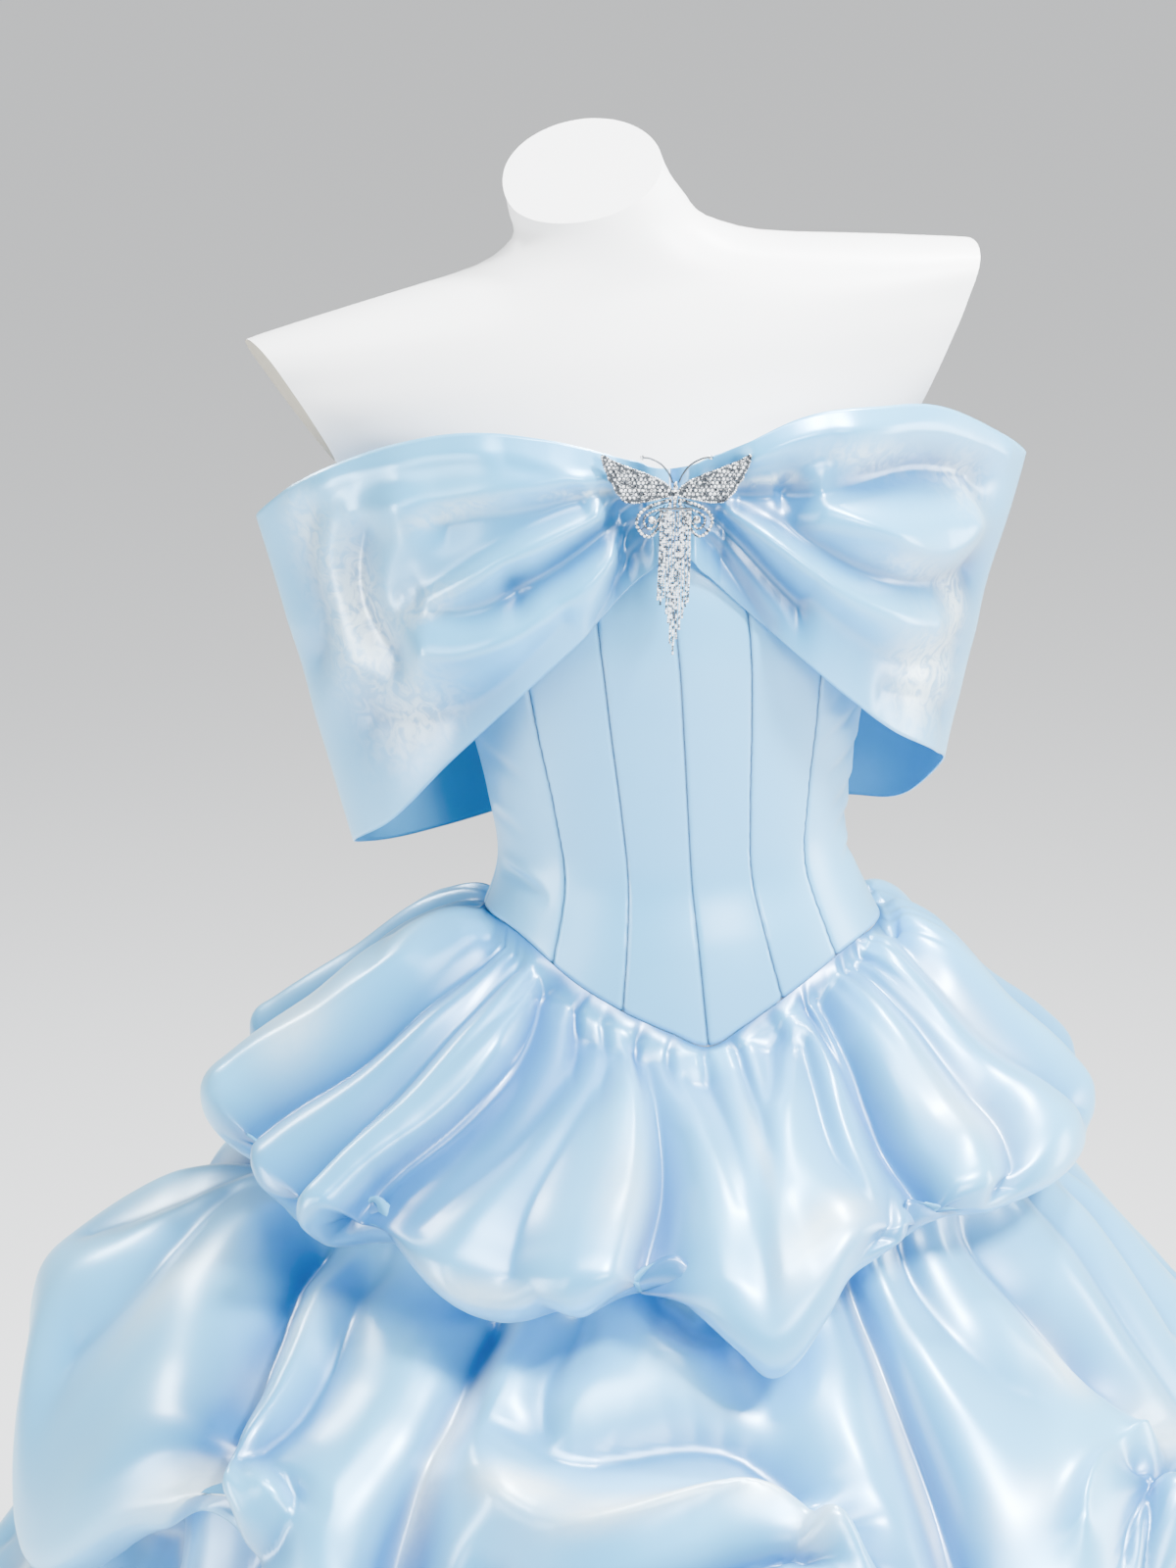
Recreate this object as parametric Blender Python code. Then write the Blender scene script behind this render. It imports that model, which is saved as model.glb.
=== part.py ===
"""A strapless satin homecoming dress on a limbless dress form.

The dress is ten fitted bodice panels ending in a pointed waist seam, a skirt of three
gathered bubble tiers, and one wide bow whose two loops wrap off the shoulders, pinned at
the centre front by a butterfly brooch with a chain tassel.  The form is a smooth bust on
a pole and a round steel base.  Metres, +Z up, the dress faces -Y, the origin is under the
middle of the base.  An angle on the body or the skirt is 0 at the centre front and grows
towards +X.
"""
import math

import bmesh
import bpy
import numpy as np
from mathutils import Matrix, Vector

# ------------------------------------------------------------------ driving dimensions
WALL = 0.0022            # satin with its backing, as one wall
SEAM = 0.0003            # gap between two pieces that are sewn together
EASE = 0.0018            # gap between the form and the bodice
FULL_TURN = 2 * math.pi

BASE_RADIUS = 0.190
BASE_THICKNESS = 0.008
COLLAR_RADIUS = 0.030
COLLAR_HEIGHT = 0.045
POLE_RADIUS = 0.0125
FORM_BOTTOM = 0.860

BEND_START = 1.080       # the bust leans towards -X above this height
BEND_LENGTH = 0.320
BEND_ANGLE = 0.068

SKIRT_SHARE = 0.990      # the skirt's radius as a share of its tables
SKIRT_REACH = 0.045      # it reaches further on its -X side, as a share of its radius
WAIST_DROP = 0.0005      # the gathers start this much under the bodice's edge


def table(heading, *rows):
    """A short table: one array for each column named in the heading."""
    return dict(zip(heading.split(), np.array(rows, float).T))


def smooth(x, xs, ys):
    """Cubic through the points (xs, ys), its slope at a point taken from both neighbours."""
    slope = np.gradient(ys, xs)
    k = np.clip(np.searchsorted(xs, x, side="right") - 1, 0, len(xs) - 2)
    width = xs[k + 1] - xs[k]
    t = np.clip((x - xs[k]) / width, 0, 1)
    rise = ys[k] * (1 + 2 * t) * (1 - t) ** 2 + ys[k + 1] * t * t * (3 - 2 * t)
    return rise + width * (slope[k] * t * (1 - t) ** 2 - slope[k + 1] * t * t * (1 - t))


def eased(t):
    """0 up to t = 0, 1 from t = 1 on, and a smooth step between."""
    t = np.clip(t, 0, 1)
    return t * t * (3 - 2 * t)


def around(angle, degrees, values):
    """The same cubic round a full turn, for an angle in radians."""
    xs = np.concatenate((degrees - 360, degrees, degrees + 360))
    return smooth((np.degrees(angle) + 180) % 360 - 180, xs, np.tile(values, 3))


# ------------------------------------------------------------------ the dress form's body
# front and back are the depths from the side line; pinch thins the ends of the shoulders
BODY = table(
    "z      half   front  back   pinch",
    (0.860, 0.160, 0.103, 0.112, 1.0),
    (0.920, 0.167, 0.108, 0.120, 1.0),
    (0.980, 0.154, 0.105, 0.110, 1.0),
    (1.030, 0.131, 0.098, 0.088, 1.0),
    (1.070, 0.116, 0.088, 0.077, 1.0),
    (1.120, 0.120, 0.093, 0.080, 1.0),
    (1.180, 0.131, 0.107, 0.087, 1.0),
    (1.235, 0.138, 0.122, 0.091, 1.0),
    (1.285, 0.142, 0.121, 0.093, 1.0),
    (1.330, 0.165, 0.105, 0.094, 1.1),
    (1.360, 0.198, 0.092, 0.092, 1.2),
    (1.390, 0.234, 0.082, 0.090, 1.2),
    (1.420, 0.268, 0.073, 0.086, 1.1),
    (1.445, 0.272, 0.063, 0.080, 1.0),
    (1.462, 0.182, 0.056, 0.074, 1.0),
    (1.474, 0.105, 0.053, 0.068, 1.0),
    (1.488, 0.068, 0.051, 0.062, 1.0),
    (1.510, 0.056, 0.050, 0.058, 1.0),
    (1.550, 0.053, 0.050, 0.056, 1.0),
    (1.610, 0.053, 0.050, 0.055, 1.0),
)
BETWEEN_SECTIONS = (1.005, 1.050, 1.095, 1.150, 1.208, 1.260, 1.308, 1.434, 1.455, 1.600)
BODY_COLUMNS = 32
NECK_BEND_START = 1.455  # the neck leans further, from here to its cut
NECK_BEND_LENGTH = 0.070
NECK_SHIFT = 0.022
CUT_REACH = 0.130        # a cut goes no further than this from its point
NECK_CUT = dict(point=(-0.041, 0.0, 1.528), normal=(-0.286, -0.50, 1.0))
STUMP_CUTS = (           # the arms are cut here; the slope faces down
    dict(point=(-0.232, 0.0, 1.383), normal=(-1.0, -0.14, -0.60)),
    dict(point=(0.1915, 0.0, 1.4155), normal=(1.0, 0.0, -0.42)),
)


def leaned(points):
    """The points of an upright figure, bent sideways above the waist."""
    x, y, z = (points[..., k] for k in range(3))
    t = np.clip((z - BEND_START) / BEND_LENGTH, 0, 1)
    turn = BEND_ANGLE * eased(t)
    shift = BEND_ANGLE * BEND_LENGTH * (t ** 3 - t ** 4 / 2)
    shift += BEND_ANGLE * np.clip(z - BEND_START - BEND_LENGTH, 0, None)
    neck = np.clip((z - NECK_BEND_START) / NECK_BEND_LENGTH, 0, 2)
    shift += NECK_SHIFT * neck ** 2 / (1 + neck ** 2) * 2
    return np.stack((x - shift, y, z + turn * x), -1)


def body_sizes(z):
    """Half width, front depth, back depth and pinch of the body at a height."""
    return (smooth(z, BODY["z"], BODY[name]) for name in ("half", "front", "back", "pinch"))


def upright_body(angle, z, proud=0.0):
    """Point of the body's section at a height, moved out by proud."""
    half, front, back, pinch = body_sizes(z)
    across = np.sin(angle)
    along = np.cos(angle)
    depth = np.where(along > 0, front, back) + proud
    y = -depth * np.sign(along) * np.abs(along) ** pinch
    return np.stack(np.broadcast_arrays((half + proud) * across, y, z), -1)


# ------------------------------------------------------------------ creases pressed into cloth
CREASE_HEADING = "a0 v0 a1 v1 a2 v2 deep0 deep2 width skew"
CREASE_STEPS = 10        # straight steps along the bent line of a crease
CREASE_FALL = 1.6        # how steeply a crease's side falls: 1 is a cusp, 2 a round trough
CREASE_BLEND = 3         # where creases meet, the deeper one wins, softly


def bent(t, start, middle, end):
    """Quadratic curve from start to end, pulled towards middle."""
    return start * (1 - t) ** 2 + 2 * middle * t * (1 - t) + end * t * t


def crease_depth(dx, dy, crease):
    """How deep one crease is at each point.

    dx(a, middle) and dy(v) give the distance in metres from every point to a place (a, v).  The
    crease is a soft trough along a bent line from (a0, v0) past (a1, v1) to (a2, v2); skew
    makes one of its sides the steeper.
    """
    t = np.linspace(0, 1, CREASE_STEPS + 1)
    middle = (crease["a0"] + crease["a2"]) / 2
    xs = [dx(a, middle) for a in bent(t, crease["a0"], crease["a1"], crease["a2"])]
    ys = [dy(v) for v in bent(t, crease["v0"], crease["v1"], crease["v2"])]
    nearest = np.full(np.broadcast(xs[0], ys[0]).shape, np.inf)
    side = np.zeros_like(nearest)
    place = np.zeros_like(nearest)
    for k in range(CREASE_STEPS):
        run_x, run_y = xs[k] - xs[k + 1], ys[k] - ys[k + 1]
        length = np.maximum(run_x ** 2 + run_y ** 2, 1e-12)
        s = np.clip((xs[k] * run_x + ys[k] * run_y) / length, 0, 1)
        off_x, off_y = xs[k] - s * run_x, ys[k] - s * run_y
        distance = np.hypot(off_x, off_y)
        closer = distance < nearest
        turned = (off_x * run_y - off_y * run_x) / np.sqrt(length) / np.maximum(distance, 1e-6)
        nearest = np.where(closer, distance, nearest)
        side = np.where(closer, turned, side)
        place = np.where(closer, (k + s) / CREASE_STEPS, place)
    width = crease["width"] * (1 + crease["skew"] * np.clip(side, -1, 1))
    depth = crease["deep0"] + (crease["deep2"] - crease["deep0"]) * place
    return depth * np.exp(-(nearest / width) ** CREASE_FALL)


def all_creases(dx, dy, creases):
    """How deep the creases of a table are together at each point."""
    deep = 0
    for row in zip(*creases.values()):
        deep = deep + crease_depth(dx, dy, dict(zip(creases, row))) ** CREASE_BLEND
    return deep ** (1 / CREASE_BLEND)


# ------------------------------------------------------------------ the skirt's waist seam
WAIST_SEAM = table(      # height of the seam round the body: a point at the centre front
    "angle z",
    (-180, 1.028), (-135, 1.036), (-90, 1.041), (-58, 1.035), (-31, 1.005), (-9, 0.977),
    (0, 0.966), (9, 0.977), (20, 0.991), (38, 1.008), (90, 1.016), (135, 1.022),
)


def waist_height(angle):
    return around(angle, WAIST_SEAM["angle"], WAIST_SEAM["z"])


# ------------------------------------------------------------------ the skirt's tiers
SKIRT_TILT = table(      # how much higher the skirt stands on its -X side than at the middle
    "r    rise",
    (0.00, 0.000), (0.25, 0.015), (0.31, 0.030), (0.37, 0.050), (0.43, 0.046),
    (0.49, 0.026), (0.56, 0.012),
)
# z_front and z_side are the heights at the centre front and from the side line backwards
TIER_1_PROFILE = table(
    "v     r      z_front  z_side",
    (0.00, 0.120, 0.9660, 1.0310),
    (0.07, 0.142, 0.9600, 1.0350),
    (0.20, 0.188, 0.9430, 1.0160),
    (0.40, 0.248, 0.9100, 0.9560),
    (0.58, 0.295, 0.8740, 0.9080),
    (0.70, 0.320, 0.8480, 0.8780),
    (0.78, 0.321, 0.8290, 0.8560),
    (0.86, 0.301, 0.8170, 0.8400),
    (0.93, 0.273, 0.8230, 0.8430),
    (1.00, 0.243, 0.8420, 0.8560),
)
TIER_2_PROFILE = table(
    "v     r      z_front  z_side",
    (0.00, 0.243, 0.8415, 0.8555),
    (0.06, 0.256, 0.8160, 0.8330),
    (0.16, 0.300, 0.7940, 0.8140),
    (0.30, 0.345, 0.7620, 0.7800),
    (0.45, 0.392, 0.7220, 0.7340),
    (0.60, 0.438, 0.6800, 0.6880),
    (0.72, 0.466, 0.6430, 0.6500),
    (0.82, 0.470, 0.6120, 0.6180),
    (0.90, 0.442, 0.5960, 0.6000),
    (1.00, 0.392, 0.6140, 0.6160),
)
TIER_3_PROFILE = table(
    "v     r      z_front  z_side",
    (0.00, 0.392, 0.6135, 0.6155),
    (0.08, 0.405, 0.5880, 0.5900),
    (0.22, 0.455, 0.5640, 0.5680),
    (0.42, 0.505, 0.5280, 0.5320),
    (0.62, 0.535, 0.4850, 0.4880),
    (0.78, 0.540, 0.4460, 0.4480),
    (0.90, 0.515, 0.4270, 0.4290),
    (1.00, 0.480, 0.4400, 0.4420),
)
# how far a tier's hem is caught up, round the skirt; the tier below starts as much higher
TIER_1_CAUGHT = table(
    "angle lift",
    (-180, 0.030), (-160, 0.016), (-142, 0.026), (-122, 0.010), (-100, 0.014), (-76, 0.012),
    (-62, 0.005), (-50, 0.017), (-36, 0.012), (-24, 0.023), (-13, 0.032), (-3, 0.006),
    (6, 0.012), (13, 0.038), (20, 0.050), (28, 0.060), (40, 0.058), (56, 0.058),
    (80, 0.044), (104, 0.046), (124, 0.026), (146, 0.036), (166, 0.020),
)
TIER_2_CAUGHT = table(
    "angle lift",
    (-172, 0.000), (-150, 0.085), (-122, 0.005), (-93, 0.085), (-76, 0.010), (-55, 0.100),
    (-30, 0.005), (2, 0.105), (20, 0.015), (38, 0.100), (62, 0.010), (86, 0.080),
    (110, 0.005), (136, 0.090), (162, 0.060),
)
NO_CATCH = table("angle lift", (-180, 0.0), (-60, 0.0), (60, 0.0))

# a tier's creases: a is an angle in degrees, v the place from the tier's top to its hem
TIER_1_CREASES = table(
    CREASE_HEADING,
    (-102, .04, -106, .40, -104, .86, .010, .026, .018, 0.3),
    (-86, .04, -74, .30, -90, .66, .013, .016, .015, 0.3),
    (-72, .04, -62, .30, -72, .72, .014, .020, .015, 0.3),
    (-60, .04, -53, .14, -60, .30, .012, .004, .010, 0.3),
    (-46, .04, -38, .34, -51, .88, .016, .034, .018, -0.3),
    (-37, .05, -34, .40, -50, .66, .014, .020, .013, 0.3),
    (-26, .04, -29, .34, -39, .64, .014, .010, .014, -0.3),
    (-20, .04, -20, .12, -22, .24, .010, .003, .009, 0.0),
    (-17, .04, -8, .40, -13, .88, .011, .028, .015, -0.3),
    (-5, .06, -7, .20, -5, .38, .010, .003, .010, 0.0),
    (8, .06, 6, .24, -1, .42, .010, .004, .011, 0.2),
    (17, .04, 11, .30, 14, .54, .013, .008, .013, 0.3),
    (33, .04, 20, .36, 26, .88, .014, .020, .018, -0.2),
    (22, .44, 18, .60, 12, .86, .006, .018, .015, 0.2),
    (49, .04, 38, .30, 37, .62, .014, .016, .015, 0.3),
    (64, .04, 52, .26, 62, .52, .014, .008, .014, -0.3),
    (80, .04, 86, .26, 77, .76, .012, .022, .016, 0.3),
    (98, .04, 102, .40, 101, .86, .010, .026, .018, 0.3),
)
TIER_2_CREASES = table(
    CREASE_HEADING,
    (-120, .06, -124, .35, -118, .70, .012, .020, .020, 0.2),
    (-104, .06, -96, .22, -92, .52, .012, .034, .018, -0.4),
    (-80, .06, -66, .26, -56, .54, .016, .034, .017, 0.4),
    (-92, .50, -78, .60, -68, .92, .026, .014, .018, 0.2),
    (-56, .50, -64, .66, -72, .90, .026, .012, .018, 0.2),
    (-55, .50, -48, .66, -40, .92, .024, .012, .018, -0.2),
    (-54, .08, -48, .24, -41, .60, .010, .008, .016, 0.3),
    (-28, .05, -36, .20, -33, .50, .016, .022, .016, 0.4),
    (-31, .22, -14, .36, 2, .44, .020, .030, .018, -0.4),
    (-28, .34, -12, .56, 2, .52, .008, .020, .016, -0.3),
    (-34, .46, -32, .66, -28, .92, .014, .012, .018, 0.0),
    (2, .44, -6, .64, -14, .92, .026, .012, .018, 0.2),
    (3, .44, 8, .64, 14, .92, .026, .012, .018, -0.2),
    (14, .05, 11, .24, 14, .60, .014, .018, .016, 0.4),
    (26, .05, 22, .20, 28, .40, .012, .012, .014, 0.2),
    (40, .05, 37, .24, 38, .52, .012, .036, .018, -0.4),
    (38, .48, 34, .64, 26, .92, .026, .012, .018, 0.2),
    (39, .48, 44, .64, 52, .92, .026, .012, .018, -0.2),
    (62, .06, 54, .24, 56, .60, .012, .010, .016, 0.3),
    (84, .06, 88, .30, 86, .56, .014, .032, .018, 0.3),
    (86, .52, 80, .66, 72, .92, .024, .012, .018, 0.2),
    (87, .52, 94, .66, 100, .92, .024, .012, .018, -0.2),
    (112, .06, 108, .35, 110, .70, .012, .016, .020, 0.2),
)
TIER_3_CREASES = table(
    CREASE_HEADING,
    (-172, .06, -170, .40, -174, .95, .012, .018, .022, 0.2),
    (-150, .06, -152, .40, -146, .95, .012, .018, .022, 0.2),
    (-126, .06, -122, .40, -126, .95, .012, .018, .022, -0.2),
    (-104, .06, -108, .40, -102, .95, .014, .018, .022, 0.3),
    (-88, .06, -90, .36, -82, .95, .014, .016, .020, -0.3),
    (-68, .06, -66, .40, -70, .95, .012, .018, .022, 0.3),
    (-54, .06, -58, .32, -54, .95, .016, .016, .018, 0.3),
    (-36, .06, -34, .40, -38, .95, .012, .018, .020, -0.3),
    (-18, .06, -22, .40, -18, .95, .012, .018, .020, 0.3),
    (2, .06, 4, .36, 0, .95, .016, .018, .020, 0.2),
    (22, .06, 18, .40, 22, .95, .012, .018, .022, -0.3),
    (38, .06, 40, .32, 38, .95, .016, .016, .018, 0.3),
    (58, .06, 62, .40, 58, .95, .012, .018, .022, 0.2),
    (80, .06, 76, .40, 82, .95, .014, .018, .022, -0.2),
    (102, .06, 106, .40, 100, .95, .012, .018, .022, 0.2),
    (124, .06, 120, .40, 126, .95, .012, .018, .022, 0.2),
    (148, .06, 152, .40, 148, .95, .012, .018, .022, -0.2),
)
BACK_FROM_FRONT = 74     # creases nearer the front than this are repeated, mirrored, behind


def with_back(creases):
    """The creases and, behind, a mirror image of those round the centre front."""
    front = np.abs(creases["a2"]) < BACK_FROM_FRONT
    mirrored = {name: column[front] for name, column in creases.items()}
    for name in ("a0", "a1", "a2"):
        mirrored[name] = 180 - mirrored[name]
    mirrored["skew"] = -mirrored["skew"]
    return {name: np.concatenate((creases[name], mirrored[name])) for name in creases}


GATHERS = 30             # small gathers along each tier's upper seam
TIER_COLUMNS = 90
TOP_SHARE = 0.45         # this much of a tier still follows the seam above it
CATCH_START = 0.25       # a caught hem lifts the cloth from here on down
CATCH_RUN = 0.50
CATCH_PULL = 0.35        # and draws it inwards by this share of its lift
CATCH_END = 0.85
TOP_HOLD = 0.06          # shares of a tier's length over which its creases fade out
HEM_HOLD = 0.28
TIERS = {
    "skirt_tier_1": dict(profile=TIER_1_PROFILE, creases=with_back(TIER_1_CREASES),
                         caught_above=NO_CATCH, caught=TIER_1_CAUGHT, on_waist=True,
                         gather_depth=0.0050, gather_end=0.34, puff=0.006,
                         rows=(0, .05, .13, .25, .38, .52, .66, .77, .87, 1)),
    "skirt_tier_2": dict(profile=TIER_2_PROFILE, creases=with_back(TIER_2_CREASES),
                         caught_above=TIER_1_CAUGHT, caught=TIER_2_CAUGHT, on_waist=False,
                         gather_depth=0.0040, gather_end=0.30, puff=0.010,
                         rows=(0, .07, .17, .30, .43, .55, .67, .79, .90, 1)),
    "skirt_tier_3": dict(profile=TIER_3_PROFILE, creases=TIER_3_CREASES,
                         caught_above=TIER_2_CAUGHT, caught=NO_CATCH, on_waist=False,
                         gather_depth=0.0050, gather_end=0.40, puff=0.006,
                         rows=(0, .09, .23, .40, .57, .73, .88, 1)),
}


def tier_base(tier, angle, v):
    """Point of a tier before its creases: a bell whose upper ring sits on what is above."""
    profile = tier["profile"]
    r = smooth(v, profile["v"], profile["r"])
    sideways = np.where(np.cos(angle) > 0, np.sin(angle) ** 2, 1.0)
    z_front = smooth(v, profile["v"], profile["z_front"])
    z_side = smooth(v, profile["v"], profile["z_side"])
    z = z_front + (z_side - z_front) * sideways
    low = eased((v - CATCH_START) / CATCH_RUN)
    high = np.clip(1 - v / TOP_SHARE, 0, 1) ** 2
    lift = around(angle, tier["caught"]["angle"], tier["caught"]["lift"])
    lift_above = around(angle, tier["caught_above"]["angle"], tier["caught_above"]["lift"])
    z = z + lift * low + lift_above * high
    waist = high if tier["on_waist"] else 0 * v
    flare = 1 - waist
    r = r * (1 - (1 - SKIRT_SHARE + SKIRT_REACH * np.sin(angle)) * flare)
    r = r - CATCH_PULL * lift * low * (1 - np.clip((v - CATCH_END) / (1 - CATCH_END), 0, 1))
    z = z - smooth(r, SKIRT_TILT["r"], SKIRT_TILT["rise"]) * np.sin(angle) * flare
    seam_z = waist_height(angle)
    half, front, back, _ = body_sizes(seam_z)
    proud = EASE + WALL
    start_z = profile["z_front"][0] + (profile["z_side"][0] - profile["z_front"][0]) * sideways
    z = z + (seam_z - SEAM - WAIST_DROP - start_z) * waist
    across = r + (half + proud - profile["r"][0]) * waist
    depth = r + (np.where(np.cos(angle) > 0, front, back) + proud - profile["r"][0]) * waist
    return np.stack((across * np.sin(angle), -depth * np.cos(angle), z), -1)


def normals(grid, closed):
    """Unit normals of a grid of points, pointing away from the grid's left-hand turn."""
    if closed:
        wide = np.concatenate((grid[:, -1:], grid, grid[:, :1]), 1)
        along = np.gradient(wide, axis=1)[:, 1:-1]
    else:
        along = np.gradient(grid, axis=1)
    down = np.gradient(grid, axis=0)
    across = np.cross(down, along)
    return across / np.maximum(np.linalg.norm(across, axis=-1, keepdims=True), 1e-12)


def tier_grid(tier, columns, rows):
    """Outer points of a tier: the bell, its gathers, its puffs and its creases."""
    angle = np.linspace(-math.pi, math.pi, columns, endpoint=False)[None, :]
    v = np.array(rows, float)[:, None]
    angle, v = np.broadcast_arrays(angle, v)
    base = tier_base(tier, angle, v)
    radius = np.hypot(base[..., 0], base[..., 1])
    length = np.linalg.norm(np.diff(base[:, 0], axis=0), axis=-1).sum()

    def dx(a, middle):
        centred = (angle - math.radians(middle) + math.pi) % FULL_TURN - math.pi
        return (centred + math.radians(middle - a)) * radius

    def dy(place):
        return (v - place) * length

    push = tier["puff"] * np.sin(math.pi * np.clip(v, 0, 1)) ** 2
    fade = np.clip(1 - v / tier["gather_end"], 0, 1)
    push = push + tier["gather_depth"] * fade * np.cos(GATHERS * angle)
    push = push - all_creases(dx, dy, tier["creases"])
    hold = np.clip(v / TOP_HOLD, 0, 1) * np.clip((1 - v) / HEM_HOLD, 0, 1)
    return base + normals(base, True) * (push * hold)[..., None]


# ------------------------------------------------------------------ the bow's loops
# one section for each row, from the knot round the outer fold to the centre back: the upper
# and lower edge of the cloth, and how far its middle stands out
LEFT_LOOP = table(
    "s      top_x   top_y   top_z  low_x   low_y   low_z  belly",
    (0.00, -0.0142, -0.1192, 1.354, -0.0142, -0.1197, 1.306, 0.001),
    (0.03, -0.0245, -0.1340, 1.358, -0.0220, -0.1335, 1.300, 0.002),
    (0.08, -0.0420, -0.1380, 1.364, -0.0360, -0.1370, 1.289, 0.006),
    (0.19, -0.0950, -0.1340, 1.381, -0.0730, -0.1370, 1.254, 0.014),
    (0.31, -0.1500, -0.114, 1.385, -0.1220, -0.128, 1.212, 0.018),
    (0.41, -0.2020, -0.080, 1.370, -0.1620, -0.100, 1.170, 0.014),
    (0.50, -0.2480, -0.035, 1.342, -0.2000, -0.050, 1.118, 0.006),
    (0.545, -0.2670, 0.000, 1.320, -0.2160, -0.010, 1.098, 0.000),
    (0.60, -0.2500, 0.040, 1.310, -0.2010, 0.036, 1.082, 0.008),
    (0.72, -0.1850, 0.092, 1.296, -0.1500, 0.082, 1.074, 0.012),
    (0.86, -0.0950, 0.112, 1.284, -0.0800, 0.101, 1.082, 0.005),
    (1.00, -0.0002, 0.1007, 1.276, -0.0002, 0.0876, 1.092, 0.000),
)
RIGHT_LOOP = table(
    "s      top_x   top_y   top_z  low_x   low_y   low_z  belly",
    (0.00, -0.0138, -0.1192, 1.354, -0.0138, -0.1197, 1.306, 0.001),
    (0.03, -0.0030, -0.1340, 1.358, -0.0065, -0.1335, 1.299, 0.002),
    (0.08, 0.0160, -0.1380, 1.364, 0.0060, -0.1370, 1.286, 0.006),
    (0.19, 0.0660, -0.1350, 1.383, 0.0440, -0.1380, 1.249, 0.014),
    (0.31, 0.1180, -0.116, 1.384, 0.0900, -0.130, 1.205, 0.018),
    (0.41, 0.1720, -0.082, 1.374, 0.1350, -0.102, 1.166, 0.014),
    (0.50, 0.2260, -0.036, 1.343, 0.1740, -0.052, 1.136, 0.006),
    (0.545, 0.2490, 0.000, 1.324, 0.1900, -0.008, 1.118, 0.000),
    (0.60, 0.2300, 0.040, 1.314, 0.1800, 0.036, 1.086, 0.008),
    (0.72, 0.1750, 0.092, 1.300, 0.1400, 0.082, 1.072, 0.012),
    (0.86, 0.0920, 0.112, 1.288, 0.0780, 0.101, 1.080, 0.005),
    (1.00, 0.0002, 0.1007, 1.276, 0.0002, 0.0876, 1.092, 0.000),
)
# creases of a loop: a is the place along the cloth, v the place from its upper edge down
LEFT_LOOP_CREASES = table(
    CREASE_HEADING,
    (0.02, .40, .12, .56, .26, .64, .012, .006, .014, 0.2),
    (0.02, .62, .12, .72, .20, .80, .010, .006, .012, 0.2),
    (0.02, .20, .12, .10, .26, .14, .008, .003, .012, 0.0),
    (0.28, .46, .35, .40, .42, .50, .010, .003, .018, 0.0),
    (0.66, .20, .80, .30, 1.0, .30, .002, .006, .016, 0.0),
    (0.66, .70, .80, .62, 1.0, .60, .002, .006, .016, 0.0),
)
RIGHT_LOOP_CREASES = table(
    CREASE_HEADING,
    (0.02, .40, .12, .54, .22, .76, .014, .012, .013, 0.3),
    (0.24, .48, .33, .56, .44, .42, .012, .006, .016, 0.0),
    (0.02, .66, .10, .78, .20, .94, .010, .004, .012, 0.2),
    (0.08, .26, .24, .34, .38, .38, .007, .010, .015, 0.0),
    (0.66, .24, .80, .34, 1.0, .32, .002, .006, .016, 0.0),
    (0.66, .66, .80, .60, 1.0, .62, .002, .006, .016, 0.0),
)
LOOP_COLUMNS = 26
LOOP_ROWS = 9
LOOP_LENGTH = 0.78       # of the cloth's middle line, for the creases' widths
KNOT_HOLD = 0.03         # shares of a loop's length over which its folds fade out
BACK_HOLD = 0.06


def loop_grid(sections, creases, columns, rows):
    """Outer points of one loop: rulings from edge to edge, bellied and creased."""
    s = np.linspace(0, 1, columns)[None, :]
    w = np.linspace(0, 1, rows)[:, None]
    s, w = np.broadcast_arrays(s, w)
    edge = {name: smooth(s, sections["s"], sections[name]) for name in sections if name != "s"}
    top = np.stack([edge["top_" + k] for k in "xyz"], -1)
    low = np.stack([edge["low_" + k] for k in "xyz"], -1)
    base = top + (low - top) * w[..., None]
    out = normals(base, False) * (1 if sections["top_x"].mean() > 0 else -1)
    push = edge["belly"] * 4 * w * (1 - w)
    height = np.linalg.norm(top - low, axis=-1)
    push = push - all_creases(lambda a, _: (s - a) * LOOP_LENGTH, lambda v: (w - v) * height,
                              creases)
    held = np.clip(s / KNOT_HOLD, 0, 1) * np.clip((1 - s) / BACK_HOLD, 0, 1)
    return base + out * (push * held)[..., None], out


# ------------------------------------------------------------------ the bodice
# the seams between its panels: the body angle of each at the top edge and at the waist
PANEL_SEAMS = table(
    "top   waist",
    (-180, -180), (-138, -140), (-92, -92), (-50, -44), (-26, -21), (-6, 0),
    (13, 20), (38, 41), (86, 90), (136, 140), (180, 180),
)
PANEL_NAMES = (
    "bodice_centre_back_left", "bodice_side_back_left", "bodice_side_left",
    "bodice_side_front_left", "bodice_centre_front_left", "bodice_centre_front_right",
    "bodice_side_front_right", "bodice_side_right", "bodice_side_back_right",
    "bodice_centre_back_right",
)
BODICE_TOP = table(
    "angle z",
    (-180, 1.262), (-120, 1.270), (-80, 1.290), (-40, 1.322), (0, 1.312),
    (40, 1.322), (80, 1.290), (120, 1.270),
)
PANEL_COLUMNS = 5
PANEL_ROWS = 12
SEAM_RADIUS = 0.12       # of the body at the seams, to turn their gap into an angle


def panel_grid(start, end, proud, columns, rows):
    """Points of one panel between two seams, a given distance off the body."""
    across = np.linspace(0, 1, columns)[None, :]
    up = np.linspace(0, 1, rows)[:, None]
    start_angle = start[1] + (start[0] - start[1]) * up
    end_angle = end[1] + (end[0] - end[1]) * up
    angle = np.radians(start_angle + (end_angle - start_angle) * across)
    angle = angle + SEAM / SEAM_RADIUS * (0.5 - across)
    low = waist_height(angle)
    high = around(angle, BODICE_TOP["angle"], BODICE_TOP["z"])
    z = low + (high - low) * up
    return leaned(upright_body(angle, z, proud))


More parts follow.
